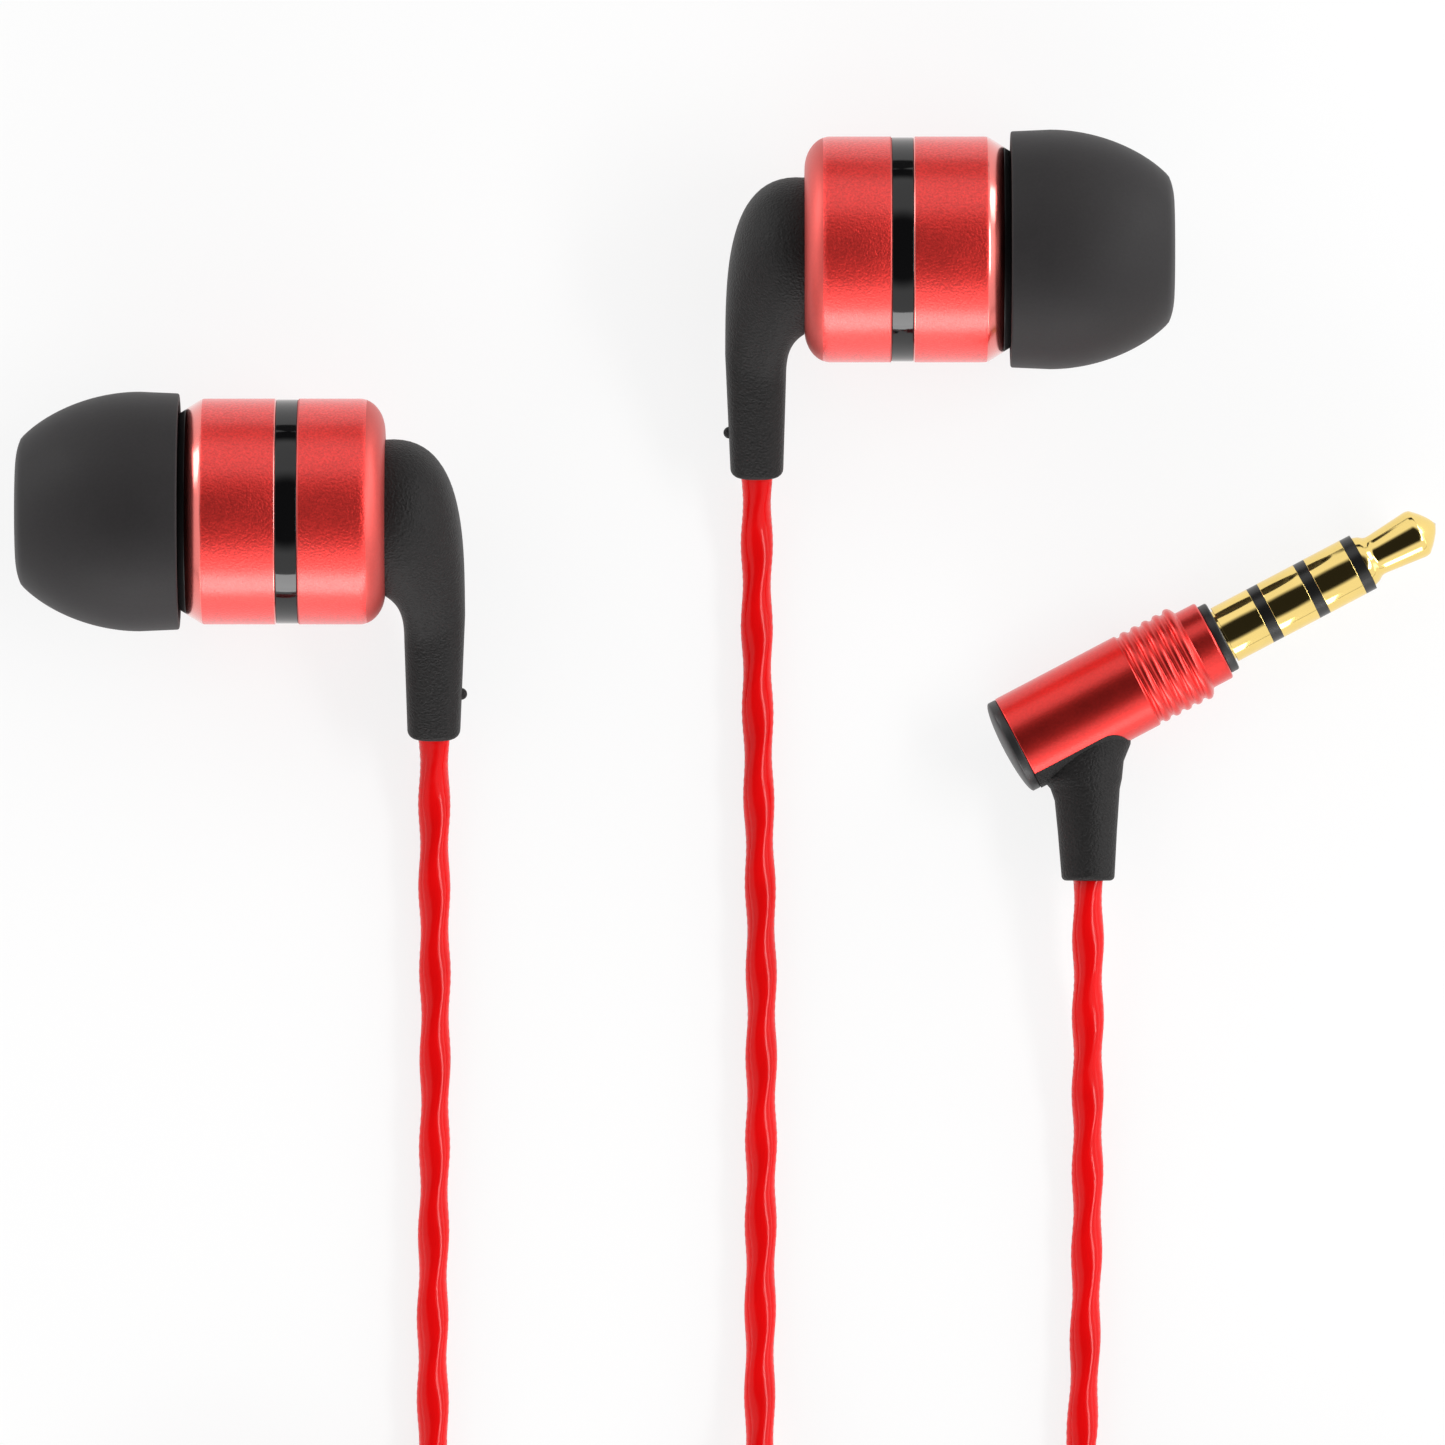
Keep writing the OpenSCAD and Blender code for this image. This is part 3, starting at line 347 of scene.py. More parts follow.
# Hard black plastic from a finely lapped mould: dark, with dull highlights.
MOULDED_BLACK = Finish(
    "ABS, moulded black", "#1A1A1B", 0.42, ior=1.52, grain=0.15, relief=0.006, drift=0.05,
)
# The same plastic, smoother where a thumb rests on it.
SATIN_BUTTON = Finish(
    "ABS, satin button", "#252527", 0.5, ior=1.52, specular=0.3, grain=0.18,
    relief=0.003, drift=0.04,
)
# Moulded nylon between the contacts: black, flush and a little glossy.
INSULATOR = Finish(
    "Nylon, moulded", "#121110", 0.30, ior=1.53, grain=0.2, relief=0.002, drift=0.06,
)
# Gold over nickel on turned brass: bright. The fine lines of the lathe's last pass
# along its highlights are not drawn.
GOLD = Finish(
    "Gold plate, bright", "#F8DA86", 0.09, metallic=1.0, grain=0.5, relief=0.001,
    drift=0.03, drift_size=2.0,
)
# Pressed sheet, a dull grey metal.
STEEL = Finish("Steel, pressed", "#A9A8A4", 0.34, metallic=1.0, grain=0.2, relief=0.003)
# Plated magnet, brighter and a little yellow beside the steel.
NICKEL = Finish("Nickel plate", "#9D9C99", 0.24, metallic=1.0, grain=0.3, relief=0.002)
# Fine cloth of round wires, grey, with painted shade in its meshes.
MESH_STEEL = Wires(
    "Stainless wire cloth", "#A5A5A2", 0.35, metallic=1.0, relief=0.05, across="YZ",
    pitch=0.16, gap=0.12, gap_roughness=0.8,
)
# Enamelled wire, whose turns show as close ridges, with painted shade between them.
COPPER = Wires("Copper wire, enamelled", "#B8673A", 0.3, metallic=1.0, relief=0.02)
# Thin film formed into a dome, pale and glossy.
FILM = Finish("PET film, formed", "#D6CFBA", 0.22, ior=1.57, grain=0.6, relief=0.002)
# Varnish on glass-fibre board, an even green.
SOLDER_MASK = Finish("Solder mask, green", "#1F5E36", 0.38, ior=1.5, grain=0.3, relief=0.003)
# Soft PVC drawn over two twisted cores: deep red, with long soft highlights that break
# where the draw left it uneven.
JACKET = Finish(
    "PVC jacket, glossy red", "#D60A0C", 0.16, ior=1.53, specular=0.17, grain=0.9,
    relief=0.02, drift=0.05, drift_size=4.0,
)


# ---- shaping ----------------------------------------------------------------


def bezier(controls: Sequence[tuple[float, float]], steps: int) -> Outline:
    """Samples a cubic curve.

    Args:
        controls: its four control points.
        steps: the number of steps along it.

    Returns:
        The steps + 1 points.
    """
    made = []
    for i in range(steps + 1):
        t = i / steps
        weights = ((1 - t) ** 3, 3 * (1 - t) ** 2 * t, 3 * (1 - t) * t * t, t**3)
        made.append(tuple(sum(w * c[k] for w, c in zip(weights, controls)) for k in (0, 1)))
    return made


def quarter(depth: float, inner: float, outer: float, steps: int) -> Outline:
    """Samples a quarter of an ellipse from a flat end out to a straight side.

    Args:
        depth: how far it runs along the axis.
        inner: the radius where it starts.
        outer: the radius that it reaches.
        steps: the number of steps along it.

    Returns:
        The steps + 1 points as distance along the axis and radius.
    """
    turns = [math.pi / 2 * i / steps for i in range(steps + 1)]
    return [(depth * (1 - math.cos(a)), inner + (outer - inner) * math.sin(a)) for a in turns]


def turned(outline: Outline, closed: bool = True, segments: int = 128) -> bmesh.types.BMesh:
    """Turns a piece on the X axis, as a lathe does.

    Args:
        outline: points as distance along the axis and radius, in millimetres. A third
            number rounds that corner by so much.
        closed: whether the outline is a ring. An open one starts and ends on the axis.
        segments: the number of steps round.

    Returns:
        The closed solid, in metres.
    """
    bm = bmesh.new()
    verts = [bm.verts.new((p[0] * MM, 0, p[1] * MM)) for p in outline]
    for pair in zip(verts, verts[1:]):
        bm.edges.new(pair)
    if closed:
        bm.edges.new((verts[-1], verts[0]))
    for vert, point in zip(verts, outline):
        if len(point) > 2:
            bmesh.ops.bevel(
                bm, geom=[vert], offset=point[2] * MM, offset_type="OFFSET", segments=4,
                profile=0.5, affect="VERTICES", material=-1, clamp_overlap=True,
            )
    bmesh.ops.spin(
        bm, geom=bm.verts[:] + bm.edges[:], cent=(0, 0, 0), axis=(1, 0, 0), dvec=(0, 0, 0),
        angle=math.tau, steps=segments, use_merge=True, use_duplicate=False,
    )
    bmesh.ops.remove_doubles(bm, verts=bm.verts[:], dist=MERGE_DISTANCE)
    bmesh.ops.recalc_face_normals(bm, faces=bm.faces[:])
    return bm


def lofted(around: int, along: int, place: Callable[[int, int], Vector]) -> bmesh.types.BMesh:
    """Rolls a grid into a closed skin with flat ends.

    Args:
        around: the number of points round each section.
        along: the number of sections.
        place: gives the point of a section, from the section's number and the point's.

    Returns:
        The closed solid, in metres.
    """
    bm = bmesh.new()
    grid = bmesh.ops.create_grid(bm, x_segments=around, y_segments=along - 1, size=1)["verts"]
    for number, vert in enumerate(grid):
        section, point = divmod(number, around + 1)
        vert.co = place(section, point % around)
    bmesh.ops.remove_doubles(bm, verts=bm.verts[:], dist=MERGE_DISTANCE)
    bmesh.ops.holes_fill(bm, edges=[e for e in bm.edges if e.is_boundary], sides=0)
    bmesh.ops.recalc_face_normals(bm, faces=bm.faces[:])
    return bm


def joined(parts: Iterable[bmesh.types.BMesh]) -> bmesh.types.BMesh:
    """Puts several solids into one mesh.

    Args:
        parts: the solids. They are freed.

    Returns:
        The mesh that holds them all.
    """
    whole = bmesh.new()
    for part in parts:
        carrier = bpy.data.meshes.new("carrier")
        part.to_mesh(carrier)
        part.free()
        whole.from_mesh(carrier)
        bpy.data.meshes.remove(carrier)
    return whole


def carved(
    body: bmesh.types.BMesh, tool: bmesh.types.BMesh, how: Cut = Cut.TAKE_AWAY
) -> bmesh.types.BMesh:
    """Cuts one solid with another, or joins or crosses the two.

    Args:
        body: the solid to work on. It is freed.
        tool: the other solid. It is freed.
        how: what the second solid does to the first.

    Returns:
        The solid that is left.
    """
    blocks = []
    for part in (body, tool):
        mesh = bpy.data.meshes.new("block")
        part.to_mesh(mesh)
        part.free()
        blocks.append(bpy.data.objects.new("block", mesh))
        bpy.context.scene.collection.objects.link(blocks[-1])
    cut = blocks[0].modifiers.new("cut", "BOOLEAN")
    cut.operation = how.value
    cut.solver = "EXACT"
    cut.object = blocks[1]
    bpy.context.view_layer.update()
    result = blocks[0].evaluated_get(bpy.context.evaluated_depsgraph_get())
    made = bmesh.new()
    made.from_mesh(result.data)
    for block in blocks:
        mesh = block.data
        bpy.data.objects.remove(block)
        bpy.data.meshes.remove(mesh)
    return made


@dataclass
class Piece:
    """A finished piece: its name, finishes, body and the frame's nodes it stands for."""

    name: str
    finish: Finish
    slot: str
    body: str = "root"
    second: Optional[Finish] = None
    stands_for: tuple[str, ...] = ()

    @classmethod
    def of(
        cls, node: str, finish: Finish, slot: str, body: str = "root",
        second: Optional[Finish] = None,
    ) -> "Piece":
        """Returns the piece that stands for one node of the frame."""
        return cls(f"{node}_finished", finish, slot, body, second, (node,))

    def make(
        self, bm: bmesh.types.BMesh, placing: Matrix,
        is_second: Optional[Callable[[Vector], bool]] = None,
    ) -> bpy.types.Object:
        """Places the mesh, dresses it and ties it to its body.

        Args:
            bm: the piece in its own axes, in metres. It is freed.
            placing: takes those axes to the frame.
            is_second: says from a face's centre, in the piece's own axes, whether it
                takes the second finish.

        Returns:
            The object, at the origin, with its place in its mesh.
        """
        if is_second is not None:
            for face in bm.faces:
                face.material_index = int(is_second(face.calc_center_median()))
        bm.transform(placing)
        bmesh.ops.recalc_face_normals(bm, faces=bm.faces[:])
        mesh = bpy.data.meshes.new(self.name)
        bm.to_mesh(mesh)
        bm.free()
        return self.dress(mesh)

    def dress(self, mesh: bpy.types.Mesh) -> bpy.types.Object:
        """Gives a placed mesh its finish and body, and hides the frame's nodes that it stands
        for.

        Args:
            mesh: the piece's mesh, in its place in the frame.

        Returns:
            The object that holds it.
        """
        mesh.shade_smooth()
        mesh.set_sharp_from_angle(angle=SHARP_ANGLE)
        for finish in filter(None, (self.finish, self.second)):
            mesh.materials.append(finish.material())
        made = bpy.data.objects.new(self.name, mesh)
        bpy.context.scene.collection.objects.link(made)
        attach(made, self.body)
        if self.stands_for:
            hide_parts(*self.stands_for)
        LOG.info("%s: %d faces on %s", self.name, len(mesh.polygons), self.body)
        return made


def coat(node: str, finish: Finish) -> None:
    """Puts a finish on a node of the frame whose shape stays as it is.

    Args:
        node: the node's name.
        finish: what the piece is made of.
    """
    mesh = frame["nodes"][node].data
    mesh.materials.clear()
    mesh.materials.append(finish.material())
    LOG.info("%s: kept, in %s", node, finish.name)


# ---- earpieces --------------------------------------------------------------


@dataclass
class Earpiece:
    """One earpiece, worked out in millimetres along its own axis from the rear face."""

    side: Side
    roll: float = 20.0
    wall: float = 0.6
    rear_face: float = 0.8
    rear_round: float = 1.5
    rear_flat_r: float = 4.65
    rear_fillet: float = 0.8
    cut_share: float = 0.68
    edge_cut: float = 0.1
    bevel_len: float = 0.95
    nose_r: float = 5.97
    opening_r: float = 5.5
    lip_t: float = 0.7
    band_sink: float = 0.05
    spigot_r: float = 5.92
    spigot_wall: float = 0.4
    collar_taper: float = 0.25
    neck_r: float = 2.25
    neck_lip_r: float = 2.45
    neck_lip_len: float = 0.8
    seat_gap: float = 0.03
    sound_r: float = 1.7
    mesh_r: float = 1.95
    mesh_depth: float = 0.3
    tip_rim_r: float = 6.85
    tip_core_r: float = 2.5
    tip_core_wall: float = 0.85
    tip_skirt: float = 0.5
    tip_open_r: float = 2.0
    tip_wide: float = 2.3
    placing: Matrix = field(init=False)
    rear_x: float = field(init=False)

    def __post_init__(self) -> None:
        """Finds the earpiece's place in the frame from its rear shell."""
        low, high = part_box(self.node("rear_shell"))
        self.rear_x = min(abs(low.x), abs(high.x))
        at = Vector((self.rear_x, (low.y + high.y) / 2, (low.z + high.z) / 2))
        self.placing = Matrix.Translation(at) @ Matrix.Rotation(math.radians(self.roll), 4, "X")
        if self.side is Side.LEFT:
            self.placing = Matrix.Scale(-1, 4, (1, 0, 0)) @ self.placing

    def node(self, part: str) -> str:
        """Returns the name of this side's node for a part."""
        return f"{self.side.value}_{part}"

    def span(self, part: str) -> tuple[float, float]:
        """Finds where a part starts and ends along the axis.

        Args:
            part: the node's name after the side.

        Returns:
            The start and the end, in millimetres from the rear face.
        """
        low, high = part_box(self.node(part))
        ends = sorted((abs(low.x) - self.rear_x, abs(high.x) - self.rear_x))
        return round(ends[0] / MM, 3), round(ends[1] / MM, 3)

    def radius(self, part: str) -> float:
        """Returns the outer radius of a turned part, in millimetres."""
        low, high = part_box(self.node(part))
        return round((high.z - low.z) / 2 / MM, 2)

    def piece(
        self, part: str, finish: Finish, slot: str, body: str = "root",
        second: Optional[Finish] = None,
    ) -> Piece:
        """Returns the piece that stands for this side's node of that part."""
        return Piece.of(self.node(part), finish, slot, body, second)

    def rear_shell(self) -> None:
        """Turns the rear shell: a flat end, a cut shoulder and a blasted cylinder."""
        outer = self.radius("rear_shell")
        end = self.span("rear_shell")[1]
        bore = outer - self.wall
        outline = [(0.0, 0.0)] + quarter(self.rear_round, self.rear_flat_r, outer, 16)
        outline += [
            (end, outer, self.edge_cut), (end, bore), (self.rear_face + self.rear_fillet, bore),
            (self.rear_face, bore - 0.9), (self.rear_face, 0.0),
        ]
        shoulder_end = self.rear_round * self.cut_share * MM
        rim = (end - 1.2 * self.edge_cut) * MM
        self.piece("rear_shell", BLASTED_RED, "red_anodised", second=SOFT_RED).make(
            turned(outline, closed=False), self.placing,
            lambda at: at.x < shoulder_end or at.x > rim,
        )

    def front_shell(self) -> None:
        """Turns the front shell with its diamond-cut bevel and the lip inside it."""
        start, end = self.span("front_shell")
        outer = self.radius("front_shell")
        bore = outer - self.wall
        bevel = end - self.bevel_len
        rim = (start + 1.2 * self.edge_cut) * MM
        outline = [
            (start, bore), (start, outer, self.edge_cut), (bevel, outer, 0.16),
            (end, self.nose_r, 0.06), (end, self.opening_r), (end - self.lip_t, self.opening_r),
            (end - self.lip_t, bore),
        ]
        self.piece("front_shell", BLASTED_RED, "red_anodised", second=CUT_RED).make(
            turned(outline), self.placing,
            lambda at: at.x > bevel * MM or at.x < rim,
        )

    def band(self) -> None:
        """Turns the black band and its two spigots."""
        start, end = self.span("band")
        left = self.span("rear_shell")[1]
        right = self.span("front_shell")[0]
        outer = self.radius("rear_shell") - self.band_sink
        inner = self.spigot_r - self.spigot_wall
        outline = [
            (start, inner), (start, self.spigot_r), (left, self.spigot_r), (left, outer, 0.05),
            (right, outer, 0.05), (right, self.spigot_r), (end, self.spigot_r), (end, inner),
        ]
        self.piece("band", GLOSS_BLACK, "gloss_black_ring").make(turned(outline), self.placing)

    def nozzle(self) -> None:
        """Turns the nozzle: the ring, the neck, its lip and the seat of the wire cloth."""
        back, front = self.span("nozzle")
        nose = self.span("front_shell")[1]
        ring = self.span("ear_tip")[0]
        ring_r = self.radius("nozzle")
        lip = front - self.neck_lip_len
        root_r = self.opening_r - self.seat_gap
        outline = [
            (back, root_r), (nose, root_r), (nose, ring_r, 0.04),
            (ring, ring_r - self.collar_taper, 0.05), (ring + 0.2, self.neck_r + 1.2),
            (ring + 0.5, self.neck_r + 0.7, 0.1), (ring + 0.5, self.neck_r), (lip, self.neck_r),
            (lip + 0.15, self.neck_lip_r, 0.05), (front - 0.3, self.neck_lip_r, 0.1),
            (front, self.neck_lip_r - 0.25, 0.08), (front, self.mesh_r),
            (front - self.mesh_depth, self.mesh_r), (front - self.mesh_depth, self.sound_r),
            (nose + 0.3, self.sound_r), (back, root_r - 1.6),
        ]
        self.piece("nozzle", MOULDED_BLACK, "black_abs").make(turned(outline), self.placing)

    def ear_tip(self) -> None:
        """Turns the silicone tip: a domed skirt that folds back from an inner tube."""
        start, end = self.span("ear_tip")
        outer = self.radius("ear_tip")
        nozzle_end = self.span("nozzle")[1] + 0.05
        wide = start + self.tip_wide
        crown, crown_r = end - 0.55, self.tip_open_r + 2.42
        core = self.tip_core_r + self.tip_core_wall
        grip = start + 0.55
        skin = outer - self.tip_skirt
        outline = [(start, self.tip_rim_r, 0.12)]
        outline += bezier(
            [(wide, outer), (wide + 2.75, outer), (crown - 1.4, outer - 1.15), (crown, crown_r)],
            26,
        )
        outline += [(crown + 0.17, crown_r - 0.2)]
        outline += bezier(
            [(crown + 0.27, crown_r - 0.45), (crown + 0.42, crown_r - 0.85),
             (end, self.tip_open_r + 0.8), (end - 0.12, self.tip_open_r + 0.25)], 10
        )
        outline += [
            (end - 0.5, self.tip_open_r), (nozzle_end, self.tip_open_r),
            (nozzle_end, self.tip_core_r), (grip, self.tip_core_r), (grip, core - 0.2),
            (grip + 0.2, core), (crown - 2.6, core), (crown - 1.5, core + 0.25),
            (crown - 1.1, core + 0.7),
        ]
        outline += bezier(
            [(crown - 1.25, crown_r - 0.1), (crown - 2.2, outer - 1.5), (wide + 2.6, skin),
             (wide, skin)], 16
        )
        outline += [(start, self.tip_rim_r - self.tip_skirt, 0.12)]
        self.piece("ear_tip", TIP_SILICONE, "tip_silicone", f"{self.side.value}_tip").make(
            turned(outline), self.placing
        )

    def dress_inside(self) -> None:
        """Dresses the wire cloth and the pieces sealed inside, whose shapes stay."""
        finishes = {
            "nozzle_mesh": MESH_STEEL, "driver_frame": MOULDED_BLACK, "yoke": STEEL,
            "magnet": NICKEL, "top_plate": STEEL, "voice_coil": COPPER, "diaphragm": FILM,
            "terminal_board": SOLDER_MASK,
        }
        for part, finish in finishes.items():
            coat(self.node(part), finish)

    def build(self) -> None:
        """Builds and dresses the whole earpiece but its boot."""
        self.rear_shell()
        self.front_shell()
        self.band()
        self.nozzle()
        self.ear_tip()
        self.dress_inside()


@dataclass
class Boot:
    """The rubber elbow of an earpiece, in the earpiece's own axes and in millimetres."""

    ear: Earpiece
    root_r: float = 4.55
    root_drop: float = 0.4
    drop: float = 13.65
    back: float = 4.6
    lean: float = 0.3
    leg_top_t: float = 3.55
    leg_end_t: float = 3.1
    leg_w: float = 3.5
    swell: float = 0.15
    end_cut: float = 0.3
    elbow_y: float = -6.4
    crotch_y: float = -7.8
    dot_r: float = 0.35
    dot_up: float = 2.4
    around: int = 56
    bend_steps: int = 26
    leg_steps: int = 10
    edge_steps: int = 5
    squareness: float = 0.9

    def spans(self) -> list[Section]:
        """Lists the sections, each from the boot's back to its inner side.

        Returns:
            For each section, its back point, its inner point and half its width.
        """
        back, root, drop = -self.back, self.root_r, self.root_drop
        front = back + self.leg_top_t
        half = self.leg_w / 2
        outer = bezier(
            [(0, root - drop), (back - 0.15, root - drop + 0.35), (back + 0.03, -2),
             (back, self.elbow_y)], self.bend_steps
        )
        inner = bezier(
            [(0, -root - drop), (-0.75, -5.4), (-1.05, -6.2), (front, self.crotch_y)],
            self.bend_steps,
        )
        widths = bezier(
            [(0, root), (0, root), (0, half + 0.8), (0, half + self.swell)], self.bend_steps
        )
        rows = [(o, i, w[1]) for o, i, w in zip(outer, inner, widths)]
        low = self.end_cut - self.drop
        end_back = back + self.lean
        end_front = end_back + self.leg_end_t
        for number in range(1, self.leg_steps + 1):
            u = number / self.leg_steps
            rows.append((
                (back + self.lean * u, self.elbow_y + (low - self.elbow_y) * u),
                (front + (end_front - front) * u, self.crotch_y + (low - self.crotch_y) * u),
                half + self.swell * (1 - u),
            ))
        for number in range(1, self.edge_steps + 1):
            turn = math.pi / 2 * number / self.edge_steps
            side = self.end_cut * (1 - math.cos(turn))
            up = self.end_cut * (1 - math.sin(turn)) - self.drop
            rows.append(((end_back + side, up), (end_front - side, up), half - side))
        return rows

    def point(self, rows: list[Section], section: int, number: int) -> Vector:
        """Places one point of a section, on an oval that turns squarer down the leg.

        Args:
            rows: the boot's sections.
            section: the section's number.
            number: the point's number round it.

        Returns:
            The point in metres.
        """
        outer, inner, half = rows[section]
        turn = math.tau * number / self.around
        power = 2 / (2 + self.squareness * min(1, section / self.bend_steps))
        across = math.copysign(abs(math.cos(turn)) ** power, math.cos(turn))
        aside = math.copysign(abs(math.sin(turn)) ** power, math.sin(turn))
        middle = [(o + i) / 2 for o, i in zip(outer, inner)]
        reach = [(o - i) / 2 for o, i in zip(outer, inner)]
        return Vector(
            (middle[0] + reach[0] * across, middle[1] + reach[1] * across, half * aside)
        ) * MM

    def build(self) -> None:
        """Lofts the elbow and adds the small dot on its outer side."""
        rows = self.spans()
        elbow = lofted(self.around, len(rows), lambda s, p: self.point(rows, s, p))
        dot = bmesh.new()
        bmesh.ops.create_icosphere(dot, subdivisions=3, radius=self.dot_r * MM)
        seat = Vector((self.lean - self.back - 0.05, self.dot_up - self.drop, 0)) * MM
        bmesh.ops.translate(dot, verts=dot.verts[:], vec=seat)
        self.ear.piece("boot", BOOT_RUBBER, "boot_rubber").make(
            joined([elbow, dot]), self.ear.placing
        )


# ---- plug -------------------------------------------------------------------


@dataclass
class Plug:
    """The angled four-pole plug, in millimetres along its own axis from its base."""

    turn: float = 27.75
    pin_len: float = 14.0
    pin_r: float = 1.75
    pin_groove: float = 0.2
    pin_groove_w: float = 0.12
    pole_gap: float = 0.67
    pole_pitch: float = 3.05
    first_ring: float = 8.9
    neck_r: float = 1.21
    head_r: float = 1.46
    nest_r: tuple[float, ...] = (0.45, 0.65, 0.85, 1.05, 1.2, 1.4)
    contact_back: tuple[float, ...] = (-5.6, -4.4, -3.2, -2.2)
    spacer_back: tuple[float, ...] = (-5.0, -3.8, -2.6)
    spacer_sink: float = 0.015
    seat_gap: float = 0.03
    barrel_r: float = 2.9
    barrel_len: float = 12.9
    barrel_wall: float = 0.45
    collar_r: float = 2.44
    collar_len: float = 1.3
    rib_pitch: float = 0.7
    rib_depth: float = 0.17
    ribs: int = 5
    last_rib: float = 0.03
    washer_t: float = 0.55
    washer_r: float = 2.15
    cap_rim: float = 0.45
    cap_dome: float = 0.45
    cap_steps: int = 14
    peg_len: float = 0.8
    peg_r: float = 1.2
    slot_len: float = 5.85
    slot_roof: float = 2.03
    slot_round: float = 1.3
    leg_len: float = 14.25
    leg_x: float = -7.83
    leg_end_w: float = 3.1
    leg_end_h: float = 3.0
    leg_top_w: float = 3.75
    leg_cut: float = 0.28
    leg_steps: int = 5
    around: int = 56
    placing: Matrix = field(init=False)
    base: Vector = field(init=False)

    def __post_init__(self) -> None:
        """Finds the plug's place in the frame from its pin mount."""
        mount = next(m for m in frame["record"]["mounts"] if m["name"] == "plug_pin")
        middle = self.pin_groove_w * MM + mount["dims"]["length_mm"] * MM / 2
        self.base = Vector(mount["pos_m"]) - middle * Vector(mount["axis"])
        turn = Matrix.Rotation(math.radians(self.turn), 4, "Z")
        self.placing = Matrix.Translation(self.base) @ turn

    @property
    def barrel_x(self) -> float:
        """The barrel's open end, where the cap sits."""
        return -self.washer_t - self.barrel_len

    @property
    def root_r(self) -> float:
        """The sleeve's radius in the washer and the barrel."""
        return self.pin_r - self.pin_groove

    def turn_piece(
        self, part: str, finish: Finish, slot: str, outline: Outline, closed: bool = True
    ) -> None:
        """Turns the piece that stands for the plug's node of that part.

        Args:
            part: the node's name after the plug's own.
            finish: what the piece is made of.
            slot: the record's material slot. It is kept on the piece, where nothing reads it.
            outline: what is turned on the plug's axis.
            closed: whether the outline is a ring.
        """
        Piece.of(f"plug_{part}", finish, slot).make(turned(outline, closed), self.placing)

    def contacts(self) -> None:
        """Turns the four gold contacts and the insulating rings between them."""
        rings = [self.first_ring - i * self.pole_pitch for i in range(3)]
        half = self.pole_gap / 2
        step, end = rings[0] + half, self.pin_len
        nest, backs = self.nest_r, self.contact_back
        self.turn_piece("tip", GOLD, "gold_plate", [
            (backs[0], 0.0), (backs[0], nest[0]), (step, nest[0]),
            (step, self.pin_r - 0.2, 0.05), (step + 0.35, self.pin_r - 0.31, 0.08),
            (step + 0.67, self.neck_r, 0.12), (step + 0.95, self.neck_r, 0.1),
            (end - 1.3, self.head_r, 0.1), (end - 1.05, self.head_r - 0.06, 0.06),
            (end - 0.6, self.head_r - 0.5, 0.2), (end - 0.22, self.head_r - 1.0, 0.2),
            (end, 0.0),
        ], closed=False)
        for number in (1, 2):
            start, stop = rings[number] + half, rings[number - 1] - half
            inner, outer = nest[2 * number - 1], nest[2 * number]
            self.turn_piece(f"ring_{number}", GOLD, "gold_plate", [
                (backs[number], inner), (backs[number], outer), (start, outer),
                (start, self.pin_r, 0.03), (stop, self.pin_r, 0.03), (stop, inner),
            ])
        stop = rings[2] - half
        self.turn_piece("sleeve", GOLD, "gold_plate", [
            (backs[3], nest[5]), (backs[3], self.root_r), (self.pin_groove_w, self.root_r),
            (self.pin_groove_w, self.pin_r, 0.02), (stop, self.pin_r, 0.03), (stop, nest[5]),
        ])
        spacers = []
        rim = self.pin_r - self.spacer_sink
        for number, (ring, back) in enumerate(zip(rings, self.spacer_back)):
            inner, outer = nest[2 * number], nest[2 * number + 1]
            spacers.append(turned([
                (back, inner), (back, outer), (ring - half, outer), (ring - half, rim),
                (ring + half, rim), (ring + half, inner),
            ]))
        Piece.of("plug_insulators", INSULATOR, "black_abs").make(joined(spacers), self.placing)

    def washer(self) -> None:
        """Turns the black washer between the contacts and the barrel."""
        self.turn_piece("washer", MOULDED_BLACK, "black_abs", [
            (-self.washer_t, self.root_r), (-self.washer_t, self.washer_r, 0.05),
            (0.0, self.washer_r, 0.12), (0.0, self.root_r),
        ])

    def slot_block(self, over: float, tall: float) -> bmesh.types.BMesh:
        """Makes the block that cuts the barrel's slot.

        Args:
            over: how far it runs past the barrel's open end.
            tall: its height across the barrel.

        Returns:
            The block, in the plug's own axes.
        """
        front = self.barrel_x + self.slot_len
        bottom = -self.barrel_r - 1.0
        corners = [
            (self.barrel_x - over, bottom), (self.barrel_x - over, -self.slot_roof),
            (front, -self.slot_roof), (front, bottom),
        ]
        bm = bmesh.new()
        verts = [bm.verts.new((x * MM, y * MM, -tall / 2 * MM)) for x, y in corners]
        for pair in zip(verts, verts[1:] + verts[:1]):
            bm.edges.new(pair)
        bmesh.ops.bevel(
            bm, geom=[verts[2]], offset=self.slot_round * MM, offset_type="OFFSET", segments=10,
            profile=0.5, affect="VERTICES", material=-1, clamp_overlap=True,
        )
        base = bmesh.ops.contextual_create(bm, geom=bm.edges[:])["faces"]
        raised = bmesh.ops.extrude_face_region(bm, geom=base)["geom"]
        top = [v for v in raised if isinstance(v, bmesh.types.BMVert)]
        bmesh.ops.translate(bm, verts=top, vec=(0, 0, tall * MM))
        bmesh.ops.recalc_face_normals(bm, faces=bm.faces[:])
        return bm

    def rounded(self, made: bpy.types.Object) -> None:
        """Shades the barrel's plain stretch as a true cylinder, also beside the slot.

        Args:
            made: the barrel's object.
        """
        mesh = made.data
        back = self.placing.inverted()
        turn = self.placing.to_3x3()
        normals = [Vector(corner.vector) for corner in mesh.corner_normals]
        for face in mesh.polygons:
            for corner in face.loop_indices:
                at = back @ mesh.vertices[mesh.loops[corner].vertex_index].co
                out = Vector((0, at.y, at.z))
                if abs(out.length - self.barrel_r * MM) < SKIN_TOLERANCE:
                    facing = turn @ out.normalized()
                    if facing.dot(face.normal) > math.cos(SHARP_ANGLE / 2):
                        normals[corner] = facing
        mesh.normals_split_custom_set(normals)

